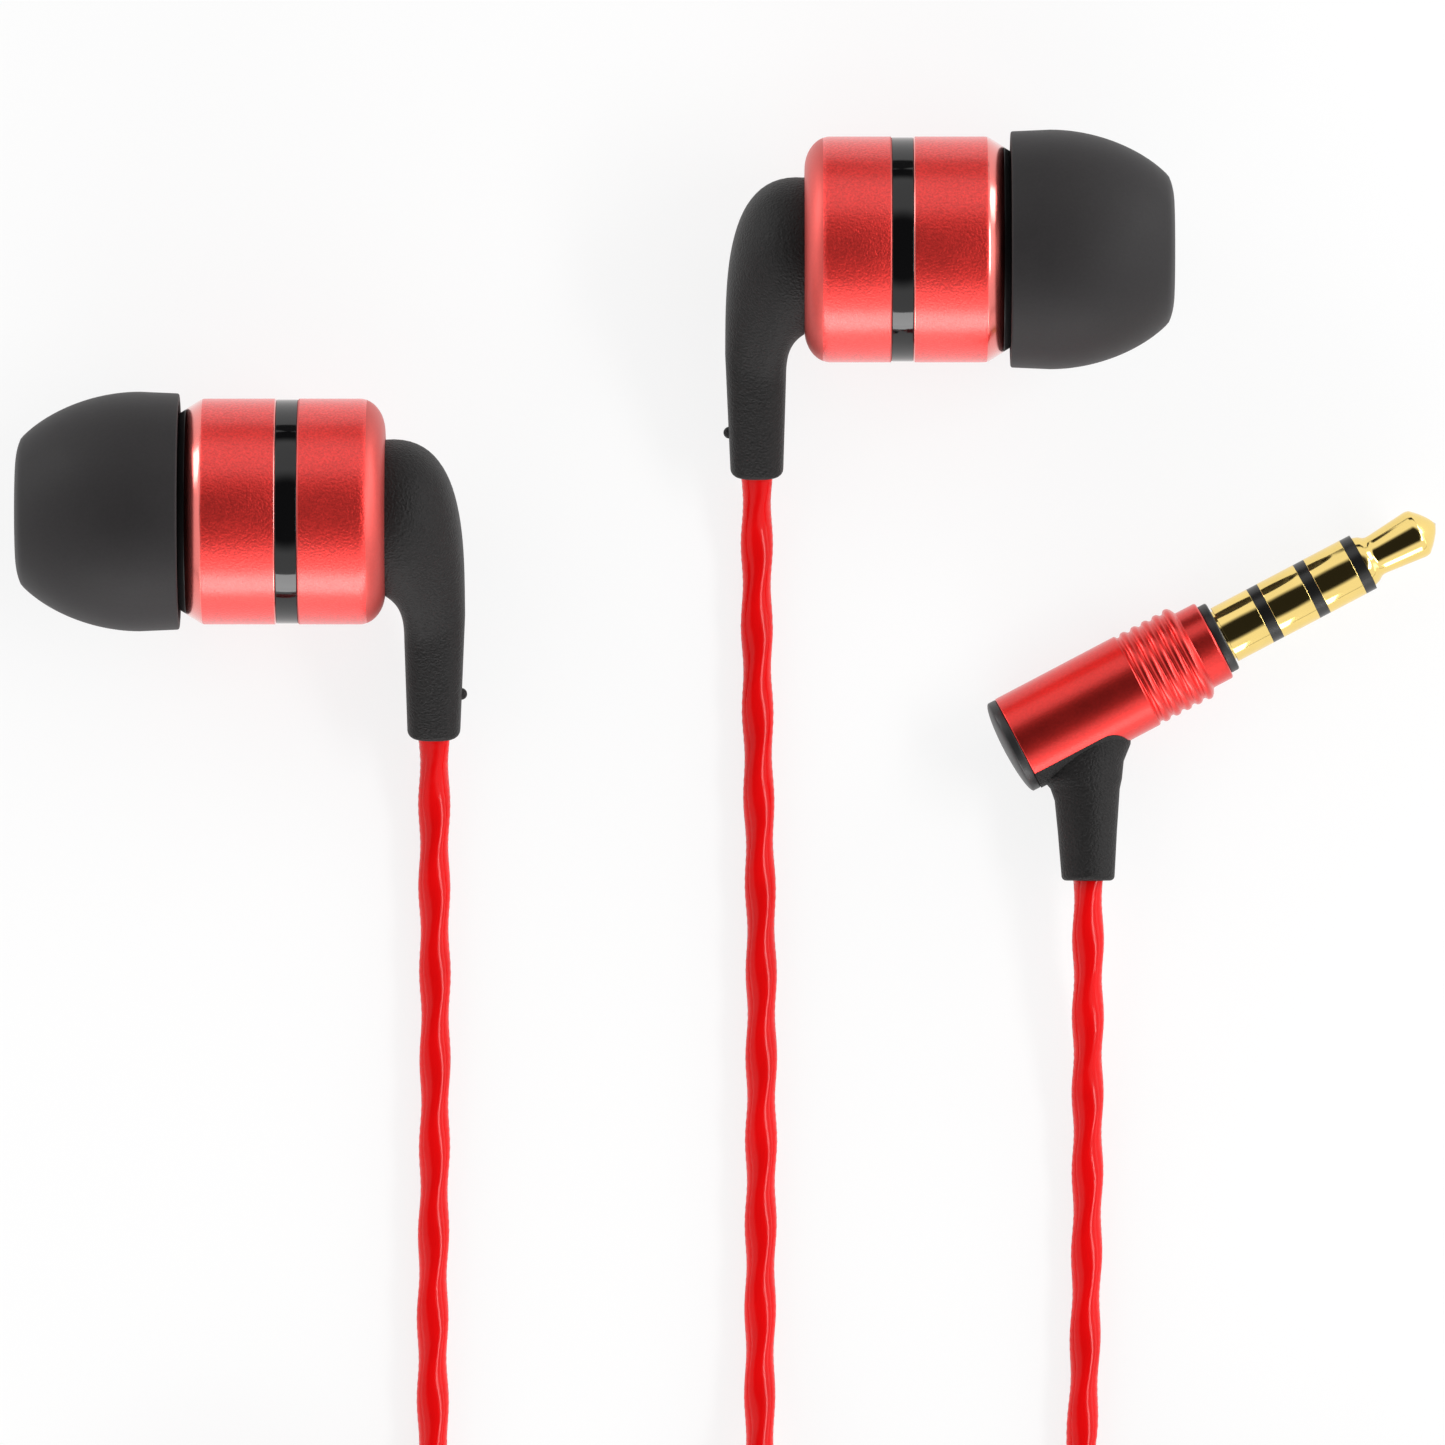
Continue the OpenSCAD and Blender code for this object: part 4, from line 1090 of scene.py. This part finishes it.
    def barrel(self) -> None:
        """Turns the ribbed barrel and cuts its slot."""
        collar_back = -self.washer_t - self.collar_len
        first = collar_back - 0.15
        inner = self.barrel_r - self.barrel_wall
        valley = self.barrel_r - self.rib_depth
        bore = self.root_r + self.seat_gap
        outline = [(self.barrel_x, inner), (self.barrel_x, self.barrel_r, 0.06)]
        outline += [(first - self.rib_pitch * self.ribs - 0.12, self.barrel_r, 0.06)]
        for number in range(self.ribs, 0, -1):
            start = first - self.rib_pitch * number
            top = self.barrel_r + (self.last_rib if number == 1 else 0.0)
            outline += [
                (start, valley, 0.04), (start + 0.13, valley, 0.04),
                (start + 0.27, top, 0.09), (start + 0.52, top, 0.09),
            ]
        outline += [
            (first, valley, 0.04), (collar_back, self.collar_r, 0.05),
            (-self.washer_t, self.collar_r, 0.14), (-self.washer_t, bore),
            (collar_back - 0.2, bore), (collar_back - 0.2, inner),
        ]
        body = carved(turned(outline, segments=320), self.slot_block(1.0, 2 * self.barrel_r + 2))
        piece = Piece.of("plug_barrel", SATIN_RED, "red_anodised")
        self.rounded(piece.make(body, self.placing))

    def end_cap(self) -> None:
        """Turns the domed black cap and the peg that holds it."""
        cap_r = self.barrel_r - 0.04
        rim = self.barrel_x - self.cap_rim
        turns = [math.pi / 2 * i / self.cap_steps for i in range(1, self.cap_steps)]
        dome = [(rim - self.cap_dome * math.sin(a), cap_r * math.cos(a)) for a in turns]
        peg = self.barrel_x + self.peg_len
        self.turn_piece("end_cap", MOULDED_BLACK, "black_abs", [
            (peg, 0.0), (peg, self.peg_r), (self.barrel_x, self.peg_r),
            (self.barrel_x, cap_r, 0.08), (rim, cap_r), *dome, (rim - self.cap_dome, 0.0),
        ], closed=False)

    def leg_levels(self) -> list[tuple[float, float, float, float]]:
        """Lists the leg's sections, from the saddle down.

        Returns:
            For each section, its height, centre, half width and half depth.
        """
        end, top = -self.leg_len, self.leg_top_w / 2
        wide, deep = self.leg_end_w / 2, self.leg_end_h / 2
        levels = [
            (-5.2, -7.4, 2.1, 2.0), (-6.3, -7.7, 2.35, 1.95), (-7.3, -8.05, 2.3, 1.9),
            (-8.3, -8.2, 2.35, 1.85), (-8.9, -8.0, 2.02, 1.8), (-9.6, -7.9, top, 1.75),
            (-11.4, self.leg_x - 0.04, top - 0.15, 1.68),
            (end + self.leg_cut, self.leg_x, wide, deep),
        ]
        steps = self.leg_steps
        fine = [
            tuple(b + (a - b) * i / steps for b, a in zip(before, after))
            for before, after in zip(levels, levels[1:]) for i in range(steps)
        ]
        for number in range(steps + 1):
            turn = math.pi / 2 * number / steps
            side, up = (self.leg_cut * (1 - way(turn)) for way in (math.cos, math.sin))
            fine.append((end + up, self.leg_x, wide - side, deep - side))
        return fine

    def leg_point(self, level: tuple[float, ...], number: int) -> Vector:
        """Places one point of a level, turned so that the leg runs along the frame's Y.

        Args:
            level: the section's height, centre, half width and half depth.
            number: the point's number round it.

        Returns:
            The point in the plug's own axes, in metres.
        """
        height, centre, wide, deep = level
        turn = math.tau * number / self.around
        at = Vector((centre - wide * math.cos(turn), height, deep * math.sin(turn)))
        return Matrix.Rotation(-math.radians(self.turn), 3, "Z") @ (at * MM)

    def plain_bar(self, start: float, stop: float, radius: float) -> bmesh.types.BMesh:
        """Turns a plain solid bar on the plug's axis."""
        return turned([(start, 0.0), (start, radius), (stop, radius), (stop, 0.0)], closed=False)

    def boot(self) -> None:
        """Lofts the leg and joins it to the rubber that fills the barrel's slot."""
        levels = self.leg_levels()
        leg = lofted(self.around, len(levels), lambda s, p: self.leg_point(levels[s], p))
        start = self.barrel_x
        skin = self.plain_bar(start, start + self.slot_len + 1, self.barrel_r + 0.02)
        saddle = carved(skin, self.slot_block(0.0, 2 * self.barrel_r + 2), Cut.CROSS)
        leg = carved(leg, self.plain_bar(start - 2, 0.0, self.barrel_r))
        whole = carved(leg, saddle, Cut.JOIN)
        Piece.of("plug_boot", BOOT_RUBBER, "boot_rubber").make(whole, self.placing)

    def build(self) -> None:
        """Builds and dresses the whole plug."""
        self.contacts()
        self.washer()
        self.barrel()
        self.end_cap()
        self.boot()


# ---- splitter and remote ----------------------------------------------------


@dataclass
class Splitter:
    """The metal sleeve over the Y joint and the rubber inside it, in millimetres."""

    wall: float = 0.35
    cord_r: float = 0.925
    rubber_out: float = 3.0

    def build(self) -> None:
        """Turns the sleeve and its core where the frame has them."""
        low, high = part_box("splitter_sleeve")
        placing = Matrix.Translation((low + high) / 2)
        half = (high.x - low.x) / 2 / MM
        outer = round((high.z - low.z) / 2 / MM, 2)
        inner = outer - self.wall
        sleeve = [
            (-half, inner), (-half, outer, 0.16), (half, outer, 0.16), (half, inner),
        ]
        Piece.of("splitter_sleeve", SATIN_RED, "red_anodised").make(turned(sleeve), placing)
        reach = half + self.rubber_out
        core = [
            (-reach, 0.0), (-reach, inner, 0.3), (half, inner), (half + 0.3, inner - 0.3, 0.1),
            (reach, self.cord_r + 0.4, 0.15), (reach, 0.0),
        ]
        piece = Piece.of("splitter_core", BOOT_RUBBER, "boot_rubber")
        piece.make(turned(core, closed=False), placing)


@dataclass(frozen=True)
class Remote:
    """The in-line remote. Its pieces keep the frame's shapes and get these finishes."""

    parts: tuple[tuple[str, Finish], ...] = (
        ("remote_back", MATT_BLACK), ("remote_front", MATT_BLACK),
        ("remote_reliefs", BOOT_RUBBER), ("volume_up_button", SATIN_BUTTON),
        ("centre_button", SATIN_BUTTON), ("volume_down_button", SATIN_BUTTON),
        ("remote_board", SOLDER_MASK), ("remote_switches", STEEL), ("remote_microphone", STEEL),
    )

    def build(self) -> None:
        """Dresses each of its pieces."""
        for part, finish in self.parts:
            coat(part, finish)


# ---- cords ------------------------------------------------------------------


@dataclass(frozen=True)
class Wind:
    """A neat coil that spirals in and out again and climbs where it turns back.

    Lengths are in millimetres, the start is in degrees and the turns are each layer's.
    """

    centre: tuple[float, float]
    radius: float
    start: float
    way: int
    turns: float
    layers: int
    pitch: float = 2.3
    cord: float = 1.85
    steps: int = 36

    def run(self, angle: float) -> Vector:
        """Returns the way that the coil runs at an angle, in radians."""
        return self.way * Vector((-math.sin(angle), math.cos(angle), 0))

    def height(self, done: float) -> float:
        """Works out how high the centre line lies, as it climbs where it turns back.

        Args:
            done: the turns that are done.

        Returns:
            The height above the table.
        """
        rise = 0.0
        for layer in range(1, self.layers):
            u = min(1.0, max(0.0, 2 * (done - layer * self.turns) + 0.5))
            rise += (1 - math.cos(math.pi * u)) / 2
        return self.cord / 2 + self.pitch * rise

    def at(self, done: float) -> Vector:
        """Works out a point of the centre line.

        Args:
            done: the turns that are done.

        Returns:
            The point.
        """
        layer = min(int(done / self.turns), self.layers - 1)
        along = done - layer * self.turns
        inward = along if layer % 2 == 0 else self.turns - along
        reach = self.radius - self.pitch * inward
        angle = math.radians(self.start) + self.way * math.tau * done
        return Vector((
            self.centre[0] + reach * math.cos(angle), self.centre[1] + reach * math.sin(angle),
            self.height(done),
        ))

    def points(self) -> list[Vector]:
        """Lists the coil's points, with a straight diameter of the cord at each end.

        Returns:
            The points, in metres.
        """
        total = self.turns * self.layers
        count = round(self.steps * total)
        line = [self.at(total * i / count) for i in range(count + 1)]
        first = math.radians(self.start)
        last = first + self.way * math.tau * total
        line.insert(0, line[0] - self.cord * self.run(first))
        line.append(line[-1] + self.cord * self.run(last))
        return [point * MM for point in line]


def smooth_line(points: Sequence[Vector], step: float) -> list[Vector]:
    """Runs one smooth curve through points and samples it evenly.

    Args:
        points: the points it passes, in metres.
        step: the distance between samples.

    Returns:
        The samples, from the first point to the last.
    """
    ends = [2 * points[0] - points[1], *points, 2 * points[-1] - points[-2]]
    dense = []
    for p0, p1, p2, p3 in zip(ends, ends[1:], ends[2:], ends[3:]):
        d1, d2, d3 = (max((b - a).length, 1e-7) ** 0.5 for a, b in ((p0, p1), (p1, p2), (p2, p3)))
        lean1 = (p1 - p0) / d1 - (p2 - p0) / (d1 + d2) + (p2 - p1) / d2
        lean2 = (p2 - p1) / d2 - (p3 - p1) / (d2 + d3) + (p3 - p2) / d3
        m1, m2 = lean1 * d2, lean2 * d2
        count = max(2, math.ceil((p2 - p1).length / step))
        for number in range(count):
            t = number / count
            dense.append(
                (2 * t**3 - 3 * t**2 + 1) * p1 + (t**3 - 2 * t**2 + t) * m1
                + (3 * t**2 - 2 * t**3) * p2 + (t**3 - t**2) * m2
            )
    dense.append(points[-1].copy())
    return dense


@dataclass
class Lead:
    """A free cord with a twist of two lobes under its jacket.

    Its line is in metres. Its own sizes are in millimetres, as are the lengths over which
    the twist and the girth wander.
    """

    name: str
    line: list[Vector]
    leaves: Vector
    far_end: FarEnd
    lay: Lay
    stands_for: tuple[str, ...]
    with_pieces: tuple[str, ...] = ()
    diameter: float = 1.85
    wide: float = 0.955
    narrow: float = 0.83
    twist: float = 9.8
    twist_wander: float = 0.35
    long_wave: float = 13.1
    short_wave: float = 7.9
    girth_wander: float = 0.035
    girth_wave: float = 5.7
    around: int = 20
    step: float = 0.55

    def section(self) -> bpy.types.Object:
        """Makes the oval that is drawn along the line.

        Returns:
            The flat curve's object.
        """
        curve = bpy.data.curves.new("section", "CURVE")
        curve.dimensions = "2D"
        spline = curve.splines.new("POLY")
        spline.points.add(self.around - 1)
        for number, point in enumerate(spline.points):
            turn = math.tau * number / self.around
            across, up = self.wide * math.cos(turn), self.narrow * math.sin(turn)
            point.co = (across * MM, up * MM, 0, 1)
        spline.use_cyclic_u = True
        made = bpy.data.objects.new("section", curve)
        bpy.context.scene.collection.objects.link(made)
        return made

    def build(self) -> bpy.types.Object:
        """Returns:
            The cord's piece.
        """
        path = smooth_line(self.line, self.step * MM)
        section = self.section()
        curve = bpy.data.curves.new(self.name, "CURVE")
        curve.dimensions = "3D"
        curve.twist_mode = "MINIMUM"
        curve.bevel_mode = "OBJECT"
        curve.bevel_object = section
        curve.use_fill_caps = True
        spline = curve.splines.new("POLY")
        spline.points.add(len(path) - 1)
        length = 0.0
        for number, (point, at) in enumerate(zip(spline.points, path)):
            length += (at - path[max(number - 1, 0)]).length
            run = length / MM
            uneven = math.sin(run / self.long_wave) + 0.7 * math.sin(run / self.short_wave + 1.3)
            tilt = math.tau * run / self.twist + self.twist_wander * uneven
            swell = (math.sin(run / self.girth_wave + 0.6) - 1) / 2
            point.co = (*at, 1)
            point.tilt = tilt % math.tau
            point.radius = 1 + self.girth_wander * swell
        drawn = bpy.data.objects.new(self.name, curve)
        bpy.context.scene.collection.objects.link(drawn)
        bpy.context.view_layer.update()
        shape = drawn.evaluated_get(bpy.context.evaluated_depsgraph_get())
        mesh = bpy.data.meshes.new_from_object(shape)
        for helper in (drawn, section):
            data = helper.data
            bpy.data.objects.remove(helper)
            bpy.data.curves.remove(data)
        bm = bmesh.new()
        bm.from_mesh(mesh)
        bpy.data.meshes.remove(mesh)
        bmesh.ops.remove_doubles(bm, verts=bm.verts[:], dist=MERGE_DISTANCE)
        piece = Piece(self.name, JACKET, "cord_pvc", "root", None, self.stands_for)
        made = piece.make(bm, Matrix.Identity(4))
        LOG.info("%s: %.0f mm long", self.name, length / MM)
        return made


@dataclass
class Cords:
    """The four free cords: two branches, one of them in two, and the main lead.

    Routes and coils are in millimetres. A point with no height lies on the table.
    """

    left: Earpiece
    right: Earpiece
    plug: Plug
    rest_z: float = 0.93
    boot_drop: float = 13.65
    boot_x: float = -2.75
    leg_at: Point = (-7.83, -14.25, 0.0)
    left_coil: Wind = Wind((-21.2, -76.0), 11.8, 0, -1, 2, 2)
    right_coil: Wind = Wind((1.15, -113.2), 11.6, 90, 1, 2.25, 2)
    main_coil: Wind = Wind((35.2, -88.0), 13.1, 90, -1, 3.0625, 4)
    left_route: Route = (
        (-9.4, -22.5, 1.05), (-9.4, -26.0), (-9.35, -34.0), (-9.4, -43.0), (-9.5, -52.0),
        (-9.45, -61.0), (-9.4, -68.0),
    )
    left_lower_route: Route = (
        (-9.4, -80.5, 3.05), (-9.8, -85.0, 2.1), (-11.0, -90.5, 1.05), (-12.8, -96.5),
        (-14.2, -104.0), (-14.4, -111.0), (-13.8, -117.0), (-11.8, -122.2), (-8.0, -126.0),
        (-3.0, -127.1), (4.0, -127.1), (10.0, -127.1, 1.3), (14.0, -127.1, 2.2),
        (17.0, -127.1, 2.5),
    )
    right_route: Route = (
        (9.4, -7.2, 1.05), (9.4, -11.0), (9.5, -20.0), (9.65, -30.0), (9.65, -40.0), (9.6, -50.0),
        (9.57, -55.0, 1.1), (9.57, -59.0, 1.8), (9.57, -62.0, 2.4), (9.57, -64.0, 2.5),
    )
    middle_route: Route = (
        (9.57, -94.0, 2.5), (9.57, -96.0, 2.45), (8.9, -98.7, 2.0), (7.0, -100.8, 1.3),
        (4.9, -101.5, 0.98),
    )
    right_lower_route: Route = (
        (7.0, -124.85, 3.15), (11.0, -124.9, 2.75), (14.5, -124.9, 2.52), (17.0, -124.9, 2.5),
    )
    main_lower_route: Route = (
        (35.0, -126.0, 2.5), (38.0, -126.0, 2.2), (41.5, -124.8, 1.4), (45.0, -121.6, 0.95),
        (47.5, -117.0), (48.3, -111.5, 0.98), (48.3, -107.0, 1.8), (48.3, -103.0, 3.5),
        (48.3, -99.0, 5.6), (48.3, -95.0, 7.1),
    )
    main_route: Route = (
        (31.4, -74.4), (29.9, -73.2), (28.4, -70.8), (27.8, -67.5), (28.0, -63.0), (28.4, -57.0),
        (28.6, -49.0), (28.67, -43.0, 0.98), (28.67, -38.0, 1.4), (28.67, -33.0, 2.3),
        (28.67, -29.0, 2.85),
    )

    def boot_end(self, ear: Earpiece) -> list[Vector]:
        """Returns where a cord leaves its boot, and a point 2 mm further out."""
        out = [self.boot_drop, self.boot_drop + 2]
        return [ear.placing @ (Vector((self.boot_x, -reach, 0)) * MM) for reach in out]

    def passing(self, route: Route) -> list[Vector]:
        """Returns a route's points in metres."""
        return [Vector((*point, self.rest_z)[:3]) * MM for point in route]

    def build(self) -> None:
        """Builds the four cords from their routes and coils."""
        start = self.boot_end(self.left)
        Lead(
            "left_lead",
            [*start, *self.passing(self.left_route), *self.left_coil.points(),
             *self.passing(self.left_lower_route)],
            start[0], FarEnd.OBJECT, Lay.COILED, ("left_cord", "left_coil", "left_cord_lower"),
        ).build()
        start = self.boot_end(self.right)
        Lead(
            "right_lead", [*start, *self.passing(self.right_route)],
            start[0], FarEnd.OBJECT, Lay.LOOSE, ("right_cord",),
            ("remote_back", "remote_front", "remote_reliefs"),
        ).build()
        line = [
            *self.passing(self.middle_route), *self.right_coil.points(),
            *self.passing(self.right_lower_route),
        ]
        Lead(
            "right_lead_lower", line, line[0], FarEnd.OBJECT, Lay.COILED,
            ("right_cord_middle", "right_coil", "right_cord_lower"),
        ).build()
        line = [
            *self.passing(self.main_lower_route), *reversed(self.main_coil.points()),
            *self.passing(self.main_route), self.plug.base + Vector(self.leg_at) * MM,
        ]
        parts = (
            "tip", "ring_1", "ring_2", "sleeve", "insulators", "washer", "barrel", "end_cap",
            "boot",
        )
        Lead(
            "main_lead", line, line[0], FarEnd.PLUG, Lay.COILED,
            ("main_cord_lower", "main_coil", "main_cord"),
            (*(f"plug_{part}" for part in parts), "splitter_sleeve", "splitter_core"),
        ).build()


# ---- studio -----------------------------------------------------------------


@dataclass(frozen=True)
class SoftBox:
    """A rectangular lamp that faces the view's centre, from which its place is given."""

    name: str
    at: Point
    size: tuple[float, float]
    radiance: float

    def hang(self, centre: Vector) -> None:
        """Hangs the lamp, out of the camera's sight.

        Args:
            centre: the view's centre.
        """
        data = bpy.data.lights.new(self.name, "AREA")
        data.shape = "RECTANGLE"
        data.size, data.size_y = self.size
        data.energy = self.radiance * math.pi * self.size[0] * self.size[1]
        made = bpy.data.objects.new(self.name, data)
        made.location = centre + Vector(self.at)
        made.rotation_mode = "QUATERNION"
        made.rotation_quaternion = Vector(self.at).to_track_quat("Z", "Y")
        made.visible_camera = False
        bpy.context.scene.collection.objects.link(made)


@dataclass
class Studio:
    """The camera, the pale table, the light tent and the soft boxes, in metres.

    The tent's steps run along its directions, from -1 to 1. The gap is a dark opening
    overhead, whose lean and reach are in degrees. The dark reflection is painted: a black
    patch of the table in the north, which only glossy rays see.
    """

    centre: Point = (0.0074, -0.01665, 0.0)
    view_width: float = 0.0838
    view_height: float = 0.007
    camera_distance: float = 1.2
    floor_drop: float = 0.00004
    floor_size: float = 6.0
    floor_glow: float = 0.8
    # Where the painted dark reflection lies: it fades in 55 to 65 mm north and fades out 45 to 60
    # mm aside.
    dark_reflection_near: Step = Step(0.055, 0.065, 0.0, 0.95)
    dark_reflection_side: Step = Step(0.045, 0.06, 1.0, 0.0)
    gap_lean: float = -1.0
    gap_reach: tuple[float, float] = (29.0, 46.0)
    ceiling: float = 0.02
    north: Step = Step(0.9, 0.97, 1.0, 0.0)
    north_top: Step = Step(0.12, 0.28, 0.02, 1.0)
    seam: Step = Step(0.03, 0.08, 0.5, 1.0)
    side_lean: float = 0.27
    wall_start: Step = Step(0.76, 0.95, 0.0, 1.0)
    wall_top: Step = Step(0.16, 0.30, 1.0, 0.12)
    wall_light: Step = Step(0.0, 1.0, 1.0, 2.6)
    boxes: tuple[SoftBox, ...] = (
        SoftBox("south_box", (0.0, -0.30, 0.062), (0.36, 0.13), 5.1),
        SoftBox("east_box", (0.36, 0.24, 0.10), (0.2, 0.15), 5.0),
        SoftBox("west_box", (-0.36, 0.24, 0.10), (0.2, 0.15), 5.0),
        SoftBox("east_roof", (0.32, 0.02, 0.285), (0.30, 0.07), 11.0),
    )

    def camera(self) -> None:
        """Looks straight down through a long lens, with +Y at the top."""
        data = bpy.data.cameras.new("camera")
        data.lens = data.sensor_width * self.camera_distance / self.view_width
        data.clip_start, data.clip_end = 0.05, 20.0
        made = bpy.data.objects.new("camera", data)
        height = self.view_height + self.camera_distance
        made.location = Vector(self.centre) + Vector((0, 0, height))
        bpy.context.scene.collection.objects.link(made)
        bpy.context.scene.camera = made

    def floor(self) -> None:
        """Lays a plain pale table, with a painted dark reflection in its north that only shiny
        pieces show.
        """
        bm = bmesh.new()
        bmesh.ops.create_grid(bm, x_segments=1, y_segments=1, size=self.floor_size / 2)
        bmesh.ops.translate(bm, verts=bm.verts[:], vec=(0, 0, -self.floor_drop))
        mesh = bpy.data.meshes.new("table")
        bm.to_mesh(mesh)
        bm.free()
        mesh.materials.append(self.paper())
        made = bpy.data.objects.new("table", mesh)
        bpy.context.scene.collection.objects.link(made)

    def paper(self) -> bpy.types.Material:
        """Makes the table's white paper and a painted dark reflection: a black patch in the north
        that only glossy rays see.

        Returns:
            The material.
        """
        made = bpy.data.materials.new("Paper, matt white")
        made.use_nodes = True
        tree = made.node_tree
        tree.nodes.clear()
        matt = add_node(tree, "ShaderNodeBsdfDiffuse", {"Color": linear("#F4F4F4")})
        white = add_node(tree, "ShaderNodeEmission", {"Color": (1, 1, 1, 1), "Strength": 1.0})
        black = add_node(tree, "ShaderNodeBsdfDiffuse", {"Color": (0.0, 0.0, 0.0, 1.0)})
        ray = add_node(tree, "ShaderNodeLightPath").outputs
        place = add_node(tree, "ShaderNodeTexCoord").outputs["Object"]
        x, y, _ = add_node(tree, "ShaderNodeSeparateXYZ", {0: place}).outputs
        aside = add_node(tree, "ShaderNodeMath", {0: x}, operation="ABSOLUTE").outputs[0]
        # Painted reflection: glossy rays see the table black in a patch to the north.
        near, side = (
            add_node(
                tree, "ShaderNodeMapRange", step.inputs(value), interpolation_type="SMOOTHSTEP"
            ).outputs["Result"]
            for step, value in ((self.dark_reflection_near, y), (self.dark_reflection_side, aside))
        )
        glow, dark_reflection = ray["Is Camera Ray"], ray["Is Glossy Ray"]
        for value, how in (
            (ray["Is Glossy Ray"], "MAXIMUM"), (ray["Is Transmission Ray"], "MAXIMUM"),
            (self.floor_glow, "MULTIPLY"),
        ):
            glow = add_node(
                tree, "ShaderNodeMath", {0: glow, 1: value}, operation=how
            ).outputs[0]
        for value in (near, side):
            dark_reflection = add_node(
                tree, "ShaderNodeMath", {0: dark_reflection, 1: value}, operation="MULTIPLY"
            ).outputs[0]
        shown = matt.outputs[0]
        for share, over in ((glow, white), (dark_reflection, black)):
            shown = add_node(
                tree, "ShaderNodeMixShader", {0: share, 1: shown, 2: over.outputs[0]}
            ).outputs[0]
        add_node(tree, "ShaderNodeOutputMaterial", {"Surface": shown})
        return made

    def world(self) -> None:
        """Makes a light tent: bright at its sides, dark overhead and low in the north."""
        world = bpy.data.worlds.new("tent")
        bpy.context.scene.world = world
        world.use_nodes = True
        tree = world.node_tree
        tree.nodes.clear()
        way = add_node(tree, "ShaderNodeTexCoord").outputs["Generated"]
        x, y, z = add_node(tree, "ShaderNodeSeparateXYZ", {0: way}).outputs
        aside = add_node(tree, "ShaderNodeMath", {0: x}, operation="ABSOLUTE").outputs[0]
        across = add_node(
            tree, "ShaderNodeMath", {0: y, 1: self.side_lean, 2: aside},
            operation="MULTIPLY_ADD",
        ).outputs[0]
        lean = math.radians(self.gap_lean)
        middle = (0.0, math.sin(lean), math.cos(lean))
        overhead = add_node(
            tree, "ShaderNodeVectorMath", {0: way, 1: middle}, operation="DOT_PRODUCT"
        ).outputs["Value"]
        inner, outer = (math.cos(math.radians(angle)) for angle in self.gap_reach)
        gap, north, north_top, wall_start, wall_top, seam = (
            add_node(
                tree, "ShaderNodeMapRange", step.inputs(value), interpolation_type="SMOOTHSTEP"
            ).outputs["Result"]
            for step, value in (
                (Step(outer, inner, 1.0, self.ceiling), overhead), (self.north, y),
                (self.north_top, z), (self.wall_start, across), (self.wall_top, z),
                (self.seam, z),
            )
        )
        low, wall = (
            add_node(tree, "ShaderNodeMath", {0: one, 1: other}, operation=how).outputs[0]
            for one, other, how in (
                (north, north_top, "MAXIMUM"), (wall_start, wall_top, "MULTIPLY"),
            )
        )
        sides = add_node(
            tree, "ShaderNodeMapRange", self.wall_light.inputs(wall),
            interpolation_type="SMOOTHSTEP",
        ).outputs["Result"]
        level = gap
        for part in (low, sides, seam):
            level = add_node(
                tree, "ShaderNodeMath", {0: level, 1: part}, operation="MULTIPLY"
            ).outputs[0]
        ray = add_node(tree, "ShaderNodeLightPath").outputs
        strength = add_node(
            tree, "ShaderNodeMix", {0: ray["Is Camera Ray"], 2: level, 3: 1.0}
        ).outputs[0]
        light = add_node(
            tree, "ShaderNodeBackground", {"Color": (1, 1, 1, 1), "Strength": strength}
        )
        add_node(tree, "ShaderNodeOutputWorld", {"Surface": light.outputs[0]})

    def build(self) -> None:
        """Sets up everything but the camera."""
        bpy.context.scene.view_settings.view_transform = "Standard"
        self.floor()
        self.world()
        for box in self.boxes:
            box.hang(Vector(self.centre))


def main() -> None:
    """Builds the camera and the cords first, then every other piece and the studio."""
    logging.basicConfig(level=logging.INFO, format="%(name)s: %(message)s")
    studio = Studio()
    studio.camera()
    ears = [Earpiece(Side.LEFT), Earpiece(Side.RIGHT)]
    plug = Plug()
    Cords(ears[0], ears[1], plug).build()
    for ear in ears:
        ear.build()
        Boot(ear).build()
    plug.build()
    Splitter().build()
    Remote().build()
    studio.build()


if __name__ == "__main__":
    main()
